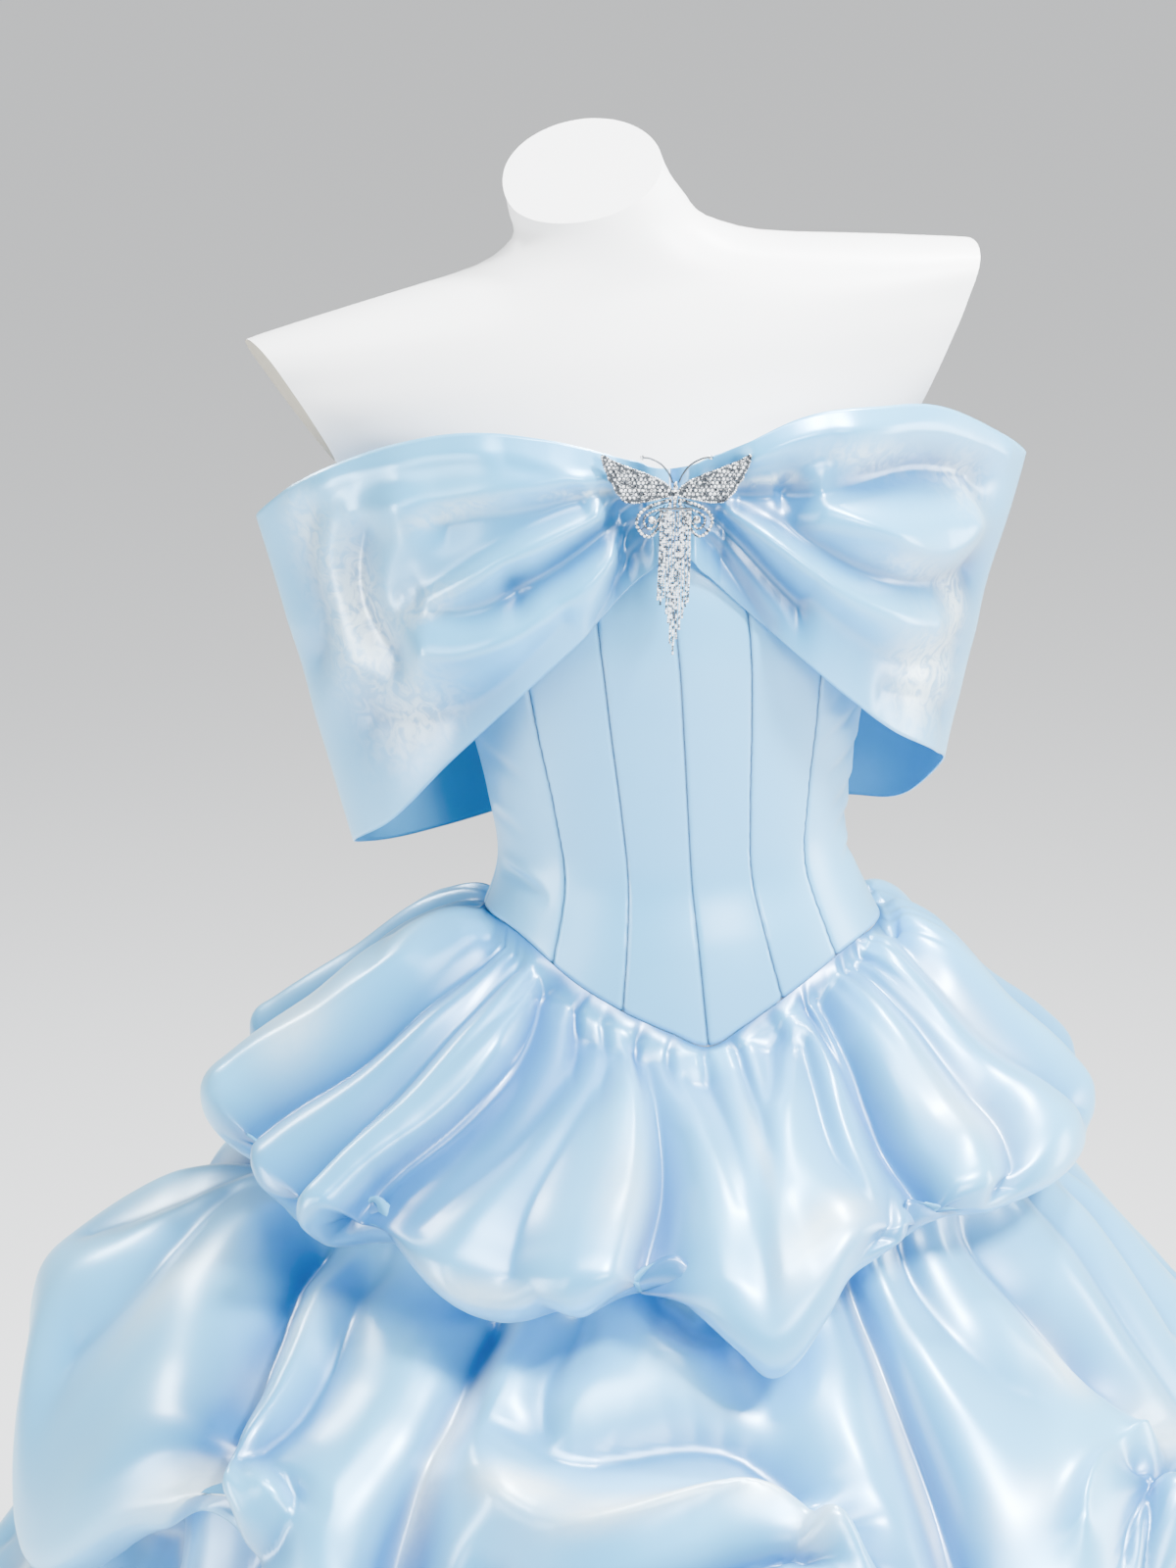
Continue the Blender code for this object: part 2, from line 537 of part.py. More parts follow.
# ------------------------------------------------------------------ the brooch
# the butterfly's edge: the angle is measured from straight down, the same on both sides
BROOCH_EDGE = table(
    "angle radius",
    (0, 0.0050), (14, 0.0120), (24, 0.0270), (34, 0.0312), (46, 0.0320), (58, 0.0280),
    (70, 0.0235), (78, 0.0300), (86, 0.0375), (98, 0.0430), (110, 0.0475), (118, 0.0530),
    (125, 0.0400), (134, 0.0275), (144, 0.0185), (156, 0.0095), (168, 0.0056), (180, 0.0052),
)
BROOCH_CENTRE = (-0.0155, -0.1428, 1.3420)
BROOCH_TURN = BEND_ANGLE  # it leans with the bust
BROOCH_SIDES = 48
BROOCH_THICKNESS = 0.0018
BROOCH_FRONT = 0.0034    # the front rises to this height within its crown
BROOCH_CROWN = 0.55      # the crown's share of the outline
ANTENNA_RADIUS = 0.0006
ANTENNA = table(         # one feeler: across and up from the brooch's centre
    "across up", (0.0019, 0.0079), (0.0042, 0.0130), (0.0090, 0.0190), (0.0160, 0.0228),
    (0.0215, 0.0236),
)
CHAIN_LENGTHS = (0.056, 0.059, 0.055, 0.064, 0.071, 0.083, 0.090, 0.080, 0.075, 0.068,
                 0.060, 0.058)
CHAIN_WIDTH = 0.0011
CHAIN_GAP = 0.0006
CHAIN_DEPTH = 0.0016
TASSEL_HEAD = 0.004      # height of the bar that the chains hang from
TASSEL_DROP = 0.006      # from the brooch's centre down to the bar's top
BROOCH_PLACE = Matrix.Translation(BROOCH_CENTRE) @ Matrix.Rotation(BROOCH_TURN, 4, "Y") \
    @ Matrix.Rotation(math.pi / 2, 4, "X")


# ------------------------------------------------------------------ meshes and materials
def linear(colour):
    """An sRGB hex colour as linear values with full opacity."""
    parts = [int(colour[k:k + 2], 16) / 255 for k in (0, 2, 4)]
    return [c / 12.92 if c <= 0.04045 else ((c + 0.055) / 1.055) ** 2.4 for c in parts] + [1.0]


def material(name, colour, roughness, metallic=0.0):
    """A Principled material with one colour."""
    made = bpy.data.materials.get(name) or bpy.data.materials.new(name)
    made.use_nodes = True
    shader = made.node_tree.nodes["Principled BSDF"]
    shader.inputs["Base Color"].default_value = linear(colour)
    shader.inputs["Roughness"].default_value = roughness
    shader.inputs["Metallic"].default_value = metallic
    return made


def ice_blue_satin():
    return material("ice_blue_satin", "ADD4EE", 0.28)


def form_plastic():
    return material("white_form_plastic", "F1F3F2", 0.45)


def brushed_steel():
    return material("brushed_steel", "B9BCC0", 0.35, 1.0)


def crystal_silver():
    return material("crystal_silver", "D2D6DA", 0.20, 1.0)


def finish(bm, name, finish_material, smooth_faces=True):
    """Turns a closed bmesh into a named object with its faces pointing out."""
    bmesh.ops.recalc_face_normals(bm, faces=bm.faces)
    mesh = bpy.data.meshes.new(name)
    bm.to_mesh(mesh)
    bm.free()
    if smooth_faces:
        mesh.shade_smooth()
    made = bpy.data.objects.new(name, mesh)
    made.data.materials.append(finish_material)
    bpy.context.collection.objects.link(made)
    return made


def wall(name, outer, inner, closed, finish_material):
    """A cloth wall between two grids of points, shut along every free edge."""
    rows, columns = outer.shape[:2]
    bm = bmesh.new()
    faces_of = []
    for grid in (outer, inner):
        faces_of.append([[bm.verts.new(p) for p in row] for row in grid.tolist()])
    out, into = faces_of
    turns = columns if closed else columns - 1
    for i in range(rows - 1):
        for k in range(turns):
            n = (k + 1) % columns
            bm.faces.new((out[i][k], out[i][n], out[i + 1][n], out[i + 1][k]))
            bm.faces.new((into[i][k], into[i + 1][k], into[i + 1][n], into[i][n]))
    for k in range(turns):
        n = (k + 1) % columns
        bm.faces.new((out[0][n], out[0][k], into[0][k], into[0][n]))
        bm.faces.new((out[-1][k], out[-1][n], into[-1][n], into[-1][k]))
    if not closed:
        for i in range(rows - 1):
            bm.faces.new((out[i][0], out[i + 1][0], into[i + 1][0], into[i][0]))
            bm.faces.new((out[i + 1][-1], out[i][-1], into[i][-1], into[i + 1][-1]))
    return finish(bm, name, finish_material)


def lathe(name, profile, sides, finish_material):
    """A solid of revolution round the Z axis from (radius, height) pairs."""
    bm = bmesh.new()
    rings = []
    for radius, height in profile:
        turn = [FULL_TURN * k / sides for k in range(sides)]
        rings.append([bm.verts.new((radius * math.cos(a), radius * math.sin(a), height))
                      for a in turn])
    for lower, upper in zip(rings, rings[1:]):
        for k in range(sides):
            n = (k + 1) % sides
            bm.faces.new((lower[k], lower[n], upper[n], upper[k]))
    bm.faces.new(rings[0])
    bm.faces.new(rings[-1])
    made = finish(bm, name, finish_material)
    made.data.set_sharp_from_angle(angle=math.radians(35))
    return made


# ------------------------------------------------------------------ the pieces
def make_form():
    """The bust: a loft of the body's sections, its neck and arms cut by planes."""
    heights = np.sort(np.concatenate((BODY["z"][:-1], BETWEEN_SECTIONS)))
    angle = np.linspace(-math.pi, math.pi, BODY_COLUMNS, endpoint=False)[None, :]
    grid = leaned(upright_body(*np.broadcast_arrays(angle, heights[:, None])))
    bm = bmesh.new()
    rings = [[bm.verts.new(p) for p in row] for row in grid.tolist()]
    for lower, upper in zip(rings, rings[1:]):
        for k in range(BODY_COLUMNS):
            n = (k + 1) % BODY_COLUMNS
            bm.faces.new((lower[k], lower[n], upper[n], upper[k]))
    bm.faces.new(rings[0])
    bm.faces.new(rings[-1])
    bmesh.ops.recalc_face_normals(bm, faces=bm.faces)
    for cut in (NECK_CUT, *STUMP_CUTS):
        near = [face for face in bm.faces
                if (face.calc_center_median() - Vector(cut["point"])).length < CUT_REACH]
        parts = {part for face in near for part in (face, *face.edges, *face.verts)}
        split = bmesh.ops.bisect_plane(bm, geom=list(parts), dist=1e-5, clear_outer=True,
                                       plane_co=Vector(cut["point"]),
                                       plane_no=Vector(cut["normal"]))
        rim = [part for part in split["geom_cut"] if isinstance(part, bmesh.types.BMEdge)]
        bmesh.ops.contextual_create(bm, geom=rim)
    bmesh.ops.remove_doubles(bm, verts=bm.verts, dist=2e-5)
    made = finish(bm, "form_torso", form_plastic())
    made.data.set_sharp_from_angle(angle=math.radians(40))
    return made


def make_stand():
    """The pole, the collar that holds it and the round base that it stands on."""
    lathe("form_base", ((BASE_RADIUS, 0.0), (BASE_RADIUS, BASE_THICKNESS - 0.003),
                        (BASE_RADIUS - 0.003, BASE_THICKNESS)), 48, brushed_steel())
    foot = BASE_THICKNESS + SEAM
    top = foot + COLLAR_HEIGHT
    lathe("form_collar", ((COLLAR_RADIUS, foot), (COLLAR_RADIUS, foot + 0.010),
                          (COLLAR_RADIUS * 0.72, top - 0.004), (COLLAR_RADIUS * 0.66, top)),
          24, brushed_steel())
    lathe("form_pole", ((POLE_RADIUS, top + SEAM), (POLE_RADIUS, FORM_BOTTOM - SEAM)),
          20, brushed_steel())


def make_bodice():
    """Ten panels cut along the body, each a wall between two seams."""
    seams = list(zip(PANEL_SEAMS["top"], PANEL_SEAMS["waist"]))
    for name, start, end in zip(PANEL_NAMES, seams, seams[1:]):
        outer = panel_grid(start, end, EASE + WALL, PANEL_COLUMNS, PANEL_ROWS)
        inner = panel_grid(start, end, EASE, PANEL_COLUMNS, PANEL_ROWS)
        wall(name, outer, inner, False, ice_blue_satin())


def make_skirt():
    for name, tier in TIERS.items():
        outer = tier_grid(tier, TIER_COLUMNS, tier["rows"])
        inner = outer - normals(outer, True) * WALL
        wall(name, outer, inner, True, ice_blue_satin())


def make_bow():
    for name, sections, creases in (("bow_loop_left", LEFT_LOOP, LEFT_LOOP_CREASES),
                                    ("bow_loop_right", RIGHT_LOOP, RIGHT_LOOP_CREASES)):
        outer, out = loop_grid(sections, creases, LOOP_COLUMNS, LOOP_ROWS)
        inner = outer - out * WALL
        inner[:, 0, 0] = outer[:, 0, 0]
        inner[:, -1, 0] = outer[:, -1, 0]
        wall(name, outer, inner, False, ice_blue_satin())


def make_brooch():
    """A butterfly plate, its front raised towards the body, and two wire feelers."""
    bm = bmesh.new()
    turn = np.arange(BROOCH_SIDES) * 360 / BROOCH_SIDES - 180
    radius = smooth(np.abs(turn), BROOCH_EDGE["angle"], BROOCH_EDGE["radius"])
    edge = np.stack((radius * np.sin(np.radians(turn)), -radius * np.cos(np.radians(turn))), -1)
    rings = []
    for share, height in ((1.0, 0.0), (1.0, BROOCH_THICKNESS), (BROOCH_CROWN, BROOCH_FRONT)):
        rings.append([bm.verts.new((share * x, share * y, height)) for x, y in edge.tolist()])
    for lower, upper in zip(rings, rings[1:]):
        for k in range(BROOCH_SIDES):
            n = (k + 1) % BROOCH_SIDES
            bm.faces.new((lower[k], lower[n], upper[n], upper[k]))
    for ring, height in ((rings[0], 0.0), (rings[-1], BROOCH_FRONT)):
        centre = bm.verts.new((0, 0, height))
        for k in range(BROOCH_SIDES):
            bm.faces.new((ring[k], ring[(k + 1) % BROOCH_SIDES], centre))
    bm.transform(BROOCH_PLACE)
    finish(bm, "brooch_butterfly", crystal_silver(), False)
    for name, hand in (("brooch_antenna_left", -1), ("brooch_antenna_right", 1)):
        curve = bpy.data.curves.new(name, "CURVE")
        curve.dimensions = "3D"
        curve.bevel_depth = ANTENNA_RADIUS
        curve.bevel_resolution = 0
        curve.use_fill_caps = True
        spline = curve.splines.new("POLY")
        spline.points.add(len(ANTENNA["up"]) - 1)
        for point, across, up in zip(spline.points, ANTENNA["across"], ANTENNA["up"]):
            point.co = (*(BROOCH_PLACE @ Vector((hand * across, up, BROOCH_THICKNESS))), 1)
        curve.materials.append(crystal_silver())
        bpy.context.collection.objects.link(bpy.data.objects.new(name, curve))


def make_tassel():
    """Chains of crystal, as square strands drawn down from one bar."""
    bm = bmesh.new()
    count = len(CHAIN_LENGTHS)
    pitch = CHAIN_WIDTH + CHAIN_GAP
    left = -(count * pitch - CHAIN_GAP) / 2
    cuts = []
    for k in range(count):
        cuts += [left + k * pitch, left + k * pitch + CHAIN_WIDTH]
    front = BROOCH_FRONT + SEAM
    levels = (-TASSEL_DROP, -TASSEL_DROP - TASSEL_HEAD)
    rows = [[[bm.verts.new((x, y, z)) for x in cuts] for z in (front, front + CHAIN_DEPTH)]
            for y in levels]
    (top_back, top_front), (low_back, low_front) = rows
    for k in range(len(cuts) - 1):
        bm.faces.new((top_back[k], top_back[k + 1], top_front[k + 1], top_front[k]))
        bm.faces.new((top_front[k], top_front[k + 1], low_front[k + 1], low_front[k]))
        bm.faces.new((top_back[k + 1], top_back[k], low_back[k], low_back[k + 1]))
        under = bm.faces.new((low_front[k], low_front[k + 1], low_back[k + 1], low_back[k]))
        if k % 2 == 0:
            drawn = bmesh.ops.extrude_discrete_faces(bm, faces=[under])["faces"][0]
            for corner in drawn.verts:
                corner.co.y -= CHAIN_LENGTHS[k // 2]
    for k in (0, -1):
        bm.faces.new((top_back[k], top_front[k], low_front[k], low_back[k]))
    bm.transform(BROOCH_PLACE)
    finish(bm, "brooch_tassel", crystal_silver(), False)


for old in list(bpy.data.objects):
    bpy.data.objects.remove(old, do_unlink=True)
make_form()
make_stand()
make_bodice()
make_skirt()
make_bow()
make_brooch()
make_tassel()
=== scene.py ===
"""The visual model of a strapless ice-blue satin homecoming dress on a limbless dress form.

Metres, +Z up, the dress faces -Y.  An angle on the body or the skirt is 0 at the centre
front and grows towards +X.  Each cloth piece is a thin shell on the shape of its solid,
with its creases laid as soft troughs and ridges along short curves.
"""

import math

import bmesh
import bpy
import numpy as np
from mathutils import Matrix, Quaternion, Vector


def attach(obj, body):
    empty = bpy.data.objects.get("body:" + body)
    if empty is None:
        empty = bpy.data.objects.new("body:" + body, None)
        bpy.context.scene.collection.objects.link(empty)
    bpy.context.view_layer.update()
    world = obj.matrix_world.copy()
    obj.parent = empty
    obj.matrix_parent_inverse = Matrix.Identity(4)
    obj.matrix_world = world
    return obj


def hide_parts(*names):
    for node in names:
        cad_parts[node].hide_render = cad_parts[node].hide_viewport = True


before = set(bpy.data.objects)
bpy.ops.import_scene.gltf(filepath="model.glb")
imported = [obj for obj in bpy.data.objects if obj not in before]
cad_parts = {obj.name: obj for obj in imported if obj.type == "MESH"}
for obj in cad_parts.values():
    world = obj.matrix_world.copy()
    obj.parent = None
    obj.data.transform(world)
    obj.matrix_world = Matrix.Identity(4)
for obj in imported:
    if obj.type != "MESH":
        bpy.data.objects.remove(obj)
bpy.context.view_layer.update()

# ------------------------------------------------------------------ camera
# A portrait lens at chest height, a little to the dress's -X side and looking down, turned
# a little about its own axis.
CAMERA_PLACE = Vector((-0.382, -2.1666, 1.75))
CAMERA_TARGET = Vector((-0.0561, 0.0, 1.1198))
CAMERA_ROLL = -2.5
CAMERA_LENS = 77.6
CAMERA_SENSOR = 36.0

camera_data = bpy.data.cameras.new("camera")
camera_data.sensor_fit = "VERTICAL"
camera_data.sensor_height = CAMERA_SENSOR
camera_data.lens = CAMERA_LENS
camera_data.dof.use_dof = False
camera = bpy.data.objects.new("camera", camera_data)
camera.location = CAMERA_PLACE
camera.rotation_mode = "QUATERNION"
camera.rotation_quaternion = (CAMERA_TARGET - CAMERA_PLACE).to_track_quat("-Z", "Y") \
    @ Quaternion((0, 0, 1), math.radians(CAMERA_ROLL))
bpy.context.scene.collection.objects.link(camera)
bpy.context.scene.camera = camera


# ------------------------------------------------------------------ floor
# A wide sheet of matt, pale grey paper under the stand, large enough to fill the picture.
FLOOR_HALF = 40.0


def srgb(colour):
    """An sRGB hex colour as linear values with full opacity."""
    parts = [int(colour[k:k + 2], 16) / 255 for k in (0, 2, 4)]
    return [c / 12.92 if c <= 0.04045 else ((c + 0.055) / 1.055) ** 2.4 for c in parts] + [1.0]


def node(tree, kind, settings=None, **links):
    """Adds a node, sets its properties and sockets from settings, and links its inputs."""
    made = tree.nodes.new(kind)
    for key, value in (settings or {}).items():
        if key in made.inputs:
            made.inputs[key].default_value = value
        else:
            setattr(made, key, value)
    for key, source in links.items():
        tree.links.new(source, made.inputs[key.replace("_", " ")])
    return made


def principled(name, **sockets):
    """A Principled material with plain values; returns it, its tree and its shader."""
    made = bpy.data.materials.new(name)
    made.use_nodes = True
    shader = made.node_tree.nodes["Principled BSDF"]
    for key, value in sockets.items():
        shader.inputs[key.replace("_", " ")].default_value = value
    return made, made.node_tree, shader


def paper():
    """Matt pale paper: an even ground that keeps its light low and soft."""
    return principled("pale_paper", Base_Color=srgb("E6E8EA"), Roughness=0.9)[0]


floor_mesh = bpy.data.meshes.new("floor")
floor_mesh.from_pydata([(FLOOR_HALF * x, FLOOR_HALF * y, 0.0)
                        for x, y in ((-1, -1), (1, -1), (1, 1), (-1, 1))], [], [(0, 1, 2, 3)])
floor_mesh.materials.append(paper())
floor = bpy.data.objects.new("floor", floor_mesh)
bpy.context.scene.collection.objects.link(floor)

# ------------------------------------------------------------------ lights
# One key from the upper right in front, a small one over the right shoulder, soft ones from
# the sides and in front, a wide soft light from high above, and a dim grey room.
LIGHTS = (   # name, place, where it points, width, height, watts
    ("key", (1.25, -1.45, 3.05), (0.0, 0.0, 1.10), 0.50, 0.50, 270.0),
    ("top_right", (0.85, 0.30, 2.80), (-0.05, 0.0, 1.35), 0.25, 0.25, 100.0),
    ("above", (0.00, -1.00, 3.20), (0.0, -0.1, 0.80), 1.10, 0.70, 40.0),
    ("fill", (-2.30, -1.90, 1.70), (0.0, 0.0, 0.95), 0.80, 1.60, 34.0),
    ("side_left", (-2.10, -0.60, 0.95), (0.0, 0.0, 1.10), 0.40, 1.30, 42.0),
    ("side_right", (2.10, -0.15, 0.95), (0.0, 0.0, 1.10), 0.40, 1.30, 42.0),
    ("low_front", (0.90, -2.30, 1.70), (-0.05, -0.30, 0.62), 0.90, 0.40, 44.0),
    ("back_left", (-1.60, 2.00, 2.60), (0.0, 0.0, 1.00), 0.60, 0.60, 60.0),
)
SKY_WATTS, SKY_SPREAD = 3.0, 0.45        # the wide light from above, per square metre
SKY_SLOPE = (0.25, -0.35, 1.0)
ROOM_GREY = 0.16

sky_data = bpy.data.lights.new("sky", "SUN")
sky_data.energy, sky_data.angle = SKY_WATTS, SKY_SPREAD
sky = bpy.data.objects.new("sky", sky_data)
sky.rotation_euler = (-Vector(SKY_SLOPE)).to_track_quat("-Z", "Y").to_euler()
bpy.context.scene.collection.objects.link(sky)
for name, place, target, width, height, watts in LIGHTS:
    data = bpy.data.lights.new(name, "AREA")
    data.shape = "RECTANGLE"
    data.size, data.size_y, data.energy = width, height, watts
    lamp = bpy.data.objects.new(name, data)
    lamp.location = place
    lamp.rotation_euler = (Vector(target) - Vector(place)).to_track_quat("-Z", "Y").to_euler()
    bpy.context.scene.collection.objects.link(lamp)
world = bpy.data.worlds.new("room")
world.use_nodes = True
world.node_tree.nodes["Background"].inputs["Color"].default_value = (ROOM_GREY,) * 3 + (1.0,)
bpy.context.scene.world = world

# ------------------------------------------------------------------ the dress form
# A moulded white bust: a loft of the body's sections that leans sideways above the waist,
# its neck and arms sawn off by flat cuts.  The arms' cut faces are a bare grey board.
FORM_COLUMNS = 144
FORM_LEVELS = 150
NECK_CUT = dict(point=(-0.041, 0.0, 1.528), normal=(-0.286, -0.50, 1.0))
ARM_CUTS = (
    dict(point=(-0.232, 0.0, 1.383), normal=(-1.0, -0.14, -0.60)),
    dict(point=(0.1915, 0.0, 1.4155), normal=(1.0, 0.0, -0.42)),
)
CUT_REACH = 0.130        # a cut goes no further than this from its point
FULL_TURN = 2 * math.pi


def table(heading, *rows):
    """A short table: one array for each column named in the heading."""
    return dict(zip(heading.split(), np.array(rows, float).T))


def smooth(x, xs, ys):
    """Cubic through the points (xs, ys), its slope at a point taken from both neighbours."""
    slope = np.gradient(ys, xs)
    k = np.clip(np.searchsorted(xs, x, side="right") - 1, 0, len(xs) - 2)
    width = xs[k + 1] - xs[k]
    t = np.clip((x - xs[k]) / width, 0, 1)
    rise = ys[k] * (1 + 2 * t) * (1 - t) ** 2 + ys[k + 1] * t * t * (3 - 2 * t)
    return rise + width * (slope[k] * t * (1 - t) ** 2 - slope[k + 1] * t * t * (1 - t))


def eased(t):
    """3t^2 - 2t^3 with t held between 0 and 1."""
    t = np.clip(t, 0, 1)
    return t * t * (3 - 2 * t)


def around(angle, degrees, values):
    """The same cubic round a full turn, for an angle in radians."""
    xs = np.concatenate((degrees - 360, degrees, degrees + 360))
    return smooth((np.degrees(angle) + 180) % 360 - 180, xs, np.tile(values, 3))


BODY = table(
    "z      half   front  back   pinch",
    (0.860, 0.160, 0.103, 0.112, 1.0),
    (0.920, 0.167, 0.108, 0.120, 1.0),
    (0.980, 0.154, 0.105, 0.110, 1.0),
    (1.030, 0.131, 0.098, 0.088, 1.0),
    (1.070, 0.116, 0.088, 0.077, 1.0),
    (1.120, 0.120, 0.093, 0.080, 1.0),
    (1.180, 0.131, 0.107, 0.087, 1.0),
    (1.235, 0.138, 0.122, 0.091, 1.0),
    (1.285, 0.142, 0.121, 0.093, 1.0),
    (1.330, 0.165, 0.105, 0.094, 1.1),
    (1.360, 0.198, 0.092, 0.092, 1.2),
    (1.390, 0.234, 0.082, 0.090, 1.2),
    (1.420, 0.268, 0.073, 0.086, 1.1),
    (1.445, 0.272, 0.063, 0.080, 1.0),
    (1.462, 0.182, 0.056, 0.074, 1.0),
    (1.474, 0.105, 0.053, 0.068, 1.0),
    (1.488, 0.068, 0.051, 0.062, 1.0),
    (1.510, 0.056, 0.050, 0.058, 1.0),
    (1.550, 0.053, 0.050, 0.056, 1.0),
    (1.610, 0.053, 0.050, 0.055, 1.0),
)
BEND_START, BEND_LENGTH, BEND_ANGLE = 1.080, 0.320, 0.068
NECK_BEND_START, NECK_BEND_LENGTH, NECK_SHIFT = 1.455, 0.070, 0.022


def leaned(points):
    """x moves by -shift(z) and z by turn(z) x, which bends an upright figure sideways."""
    x, y, z = (points[..., k] for k in range(3))
    t = np.clip((z - BEND_START) / BEND_LENGTH, 0, 1)
    turn = BEND_ANGLE * eased(t)
    shift = BEND_ANGLE * BEND_LENGTH * (t ** 3 - t ** 4 / 2)
    shift += BEND_ANGLE * np.clip(z - BEND_START - BEND_LENGTH, 0, None)
    neck = np.clip((z - NECK_BEND_START) / NECK_BEND_LENGTH, 0, 2)
    shift += NECK_SHIFT * neck ** 2 / (1 + neck ** 2) * 2
    return np.stack((x - shift, y, z + turn * x), -1)


def body_sizes(z):
    """Half width, front depth, back depth and pinch of the body at a height."""
    return (smooth(z, BODY["z"], BODY[name]) for name in ("half", "front", "back", "pinch"))


def upright_body(angle, z, proud=0.0):
    """(half sin a, -depth |cos a|^pinch, z): the body's section, moved out by proud."""
    half, front, back, pinch = body_sizes(z)
    across = np.sin(angle)
    along = np.cos(angle)
    depth = np.where(along > 0, front, back) + proud
    y = -depth * np.sign(along) * np.abs(along) ** pinch
    return np.stack(np.broadcast_arrays((half + proud) * across, y, z), -1)


def moulded_plastic():
    """White satin-matt moulding with the faintest mottling, a little warm in its shade."""
    made, tree, shader = principled("white_moulded_plastic", Roughness=0.42)
    place = node(tree, "ShaderNodeTexCoord").outputs["Object"]
    mottle = node(tree, "ShaderNodeTexNoise", dict(Scale=9.0, Detail=3.0), Vector=place)
    tint = node(tree, "ShaderNodeMix", dict(data_type="RGBA", A=srgb("FBFCFD"),
                                            B=srgb("F3F5F6")), Factor=mottle.outputs[0])
    tree.links.new(tint.outputs[2], shader.inputs["Base Color"])
    return made


def sawn_board():
    """The arms' cut faces: a dull warm grey with a fine grain."""
    made, tree, shader = principled("sawn_grey_board", Roughness=0.75)
    place = node(tree, "ShaderNodeTexCoord").outputs["Object"]
    grain = node(tree, "ShaderNodeTexNoise", dict(Scale=160.0, Detail=4.0), Vector=place)
    tint = node(tree, "ShaderNodeMix", dict(data_type="RGBA", A=srgb("A9A291"),
                                            B=srgb("9A9383")), Factor=grain.outputs[0])
    tree.links.new(tint.outputs[2], shader.inputs["Base Color"])
    return made


def link_object(name, mesh, slot_name, *replaced):
    """A finished piece: linked, shaded smooth, riding on the body, in place of its solids."""
    mesh.shade_smooth()
    made = bpy.data.objects.new(name, mesh)
    bpy.context.scene.collection.objects.link(made)
    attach(made, "root")
    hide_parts(*replaced)
    return made


levels = np.linspace(BODY["z"][0], BODY["z"][-2] + 0.05, FORM_LEVELS)
angle = np.linspace(-math.pi, math.pi, FORM_COLUMNS, endpoint=False)[None, :]
form_grid = leaned(upright_body(*np.broadcast_arrays(angle, levels[:, None])))
form_bm = bmesh.new()
form_rings = [[form_bm.verts.new(p) for p in row] for row in form_grid.tolist()]
for lower, upper in zip(form_rings, form_rings[1:]):
    for k in range(FORM_COLUMNS):
        n = (k + 1) % FORM_COLUMNS
        form_bm.faces.new((lower[k], lower[n], upper[n], upper[k]))
form_bm.faces.new(form_rings[0])
form_bm.faces.new(form_rings[-1])
bmesh.ops.recalc_face_normals(form_bm, faces=form_bm.faces)
for cut in (NECK_CUT, *ARM_CUTS):
    near = [face for face in form_bm.faces
            if (face.calc_center_median() - Vector(cut["point"])).length < CUT_REACH]
    parts = {part for face in near for part in (face, *face.edges, *face.verts)}
    split = bmesh.ops.bisect_plane(form_bm, geom=list(parts), dist=1e-5, clear_outer=True,
                                   plane_co=Vector(cut["point"]),
                                   plane_no=Vector(cut["normal"]))
    rim = [part for part in split["geom_cut"] if isinstance(part, bmesh.types.BMEdge)]
    caps = bmesh.ops.contextual_create(form_bm, geom=rim)["faces"]
    for cap in caps:
        cap.material_index = 0 if cut is NECK_CUT else 1
bmesh.ops.recalc_face_normals(form_bm, faces=form_bm.faces)
form_mesh = bpy.data.meshes.new("dress_form")
form_bm.to_mesh(form_mesh)
form_bm.free()
form_mesh.materials.append(moulded_plastic())
form_mesh.materials.append(sawn_board())
form = link_object("dress_form", form_mesh, "white_form_plastic", "form_torso")
form_mesh.set_sharp_from_angle(angle=math.radians(40))

# ------------------------------------------------------------------ the stand
# A turned steel pole in a collar on a heavy round plate, all brushed round their axis.
STAND_SIDES = 96
STAND_PARTS = {          # (radius, height) round each part, from its lower to its upper face
    "form_base": ((0.188, 0.0), (0.190, 0.0012), (0.190, 0.0052), (0.189, 0.0068),
                  (0.187, 0.0080), (0.0320, 0.0080)),
    "form_collar": ((0.030, 0.0083), (0.030, 0.0170), (0.0292, 0.0186), (0.0224, 0.0480),
                    (0.0205, 0.0526), (0.0198, 0.0533), (0.0140, 0.0533)),
    "form_pole": ((0.0125, 0.0536), (0.0125, 0.8590), (0.0118, 0.8597)),
}


def brushed_steel():
    """Steel turned and brushed: fine rings that draw the highlight out sideways."""
    made, tree, shader = principled("turned_brushed_steel", Base_Color=srgb("B9BCC0"),
                                    Metallic=1.0, Roughness=0.32, Anisotropic=0.5)
    place = node(tree, "ShaderNodeTexCoord").outputs["Object"]
    drawn = node(tree, "ShaderNodeMapping", dict(Scale=(3.0, 3.0, 900.0)), Vector=place)
    rings = node(tree, "ShaderNodeTexNoise", dict(Scale=2.0, Detail=2.0),
                 Vector=drawn.outputs[0])
    bump = node(tree, "ShaderNodeBump", dict(Strength=0.08, Distance=0.0004),
                Height=rings.outputs[0])
    tree.links.new(bump.outputs[0], shader.inputs["Normal"])
    return made


def grid_faces(rows, columns, closed):
    """Corner indices of a grid's quads: (i, k), (i + 1, k), (i + 1, k + 1), (i, k + 1)."""
    i = np.arange(rows - 1)[:, None]
    k = np.arange(columns if closed else columns - 1)[None, :]
    n = (k + 1) % columns
    quads = np.stack(np.broadcast_arrays(i * columns + k, (i + 1) * columns + k,
                                         (i + 1) * columns + n, i * columns + n), -1)
    return quads.reshape(-1, 4)


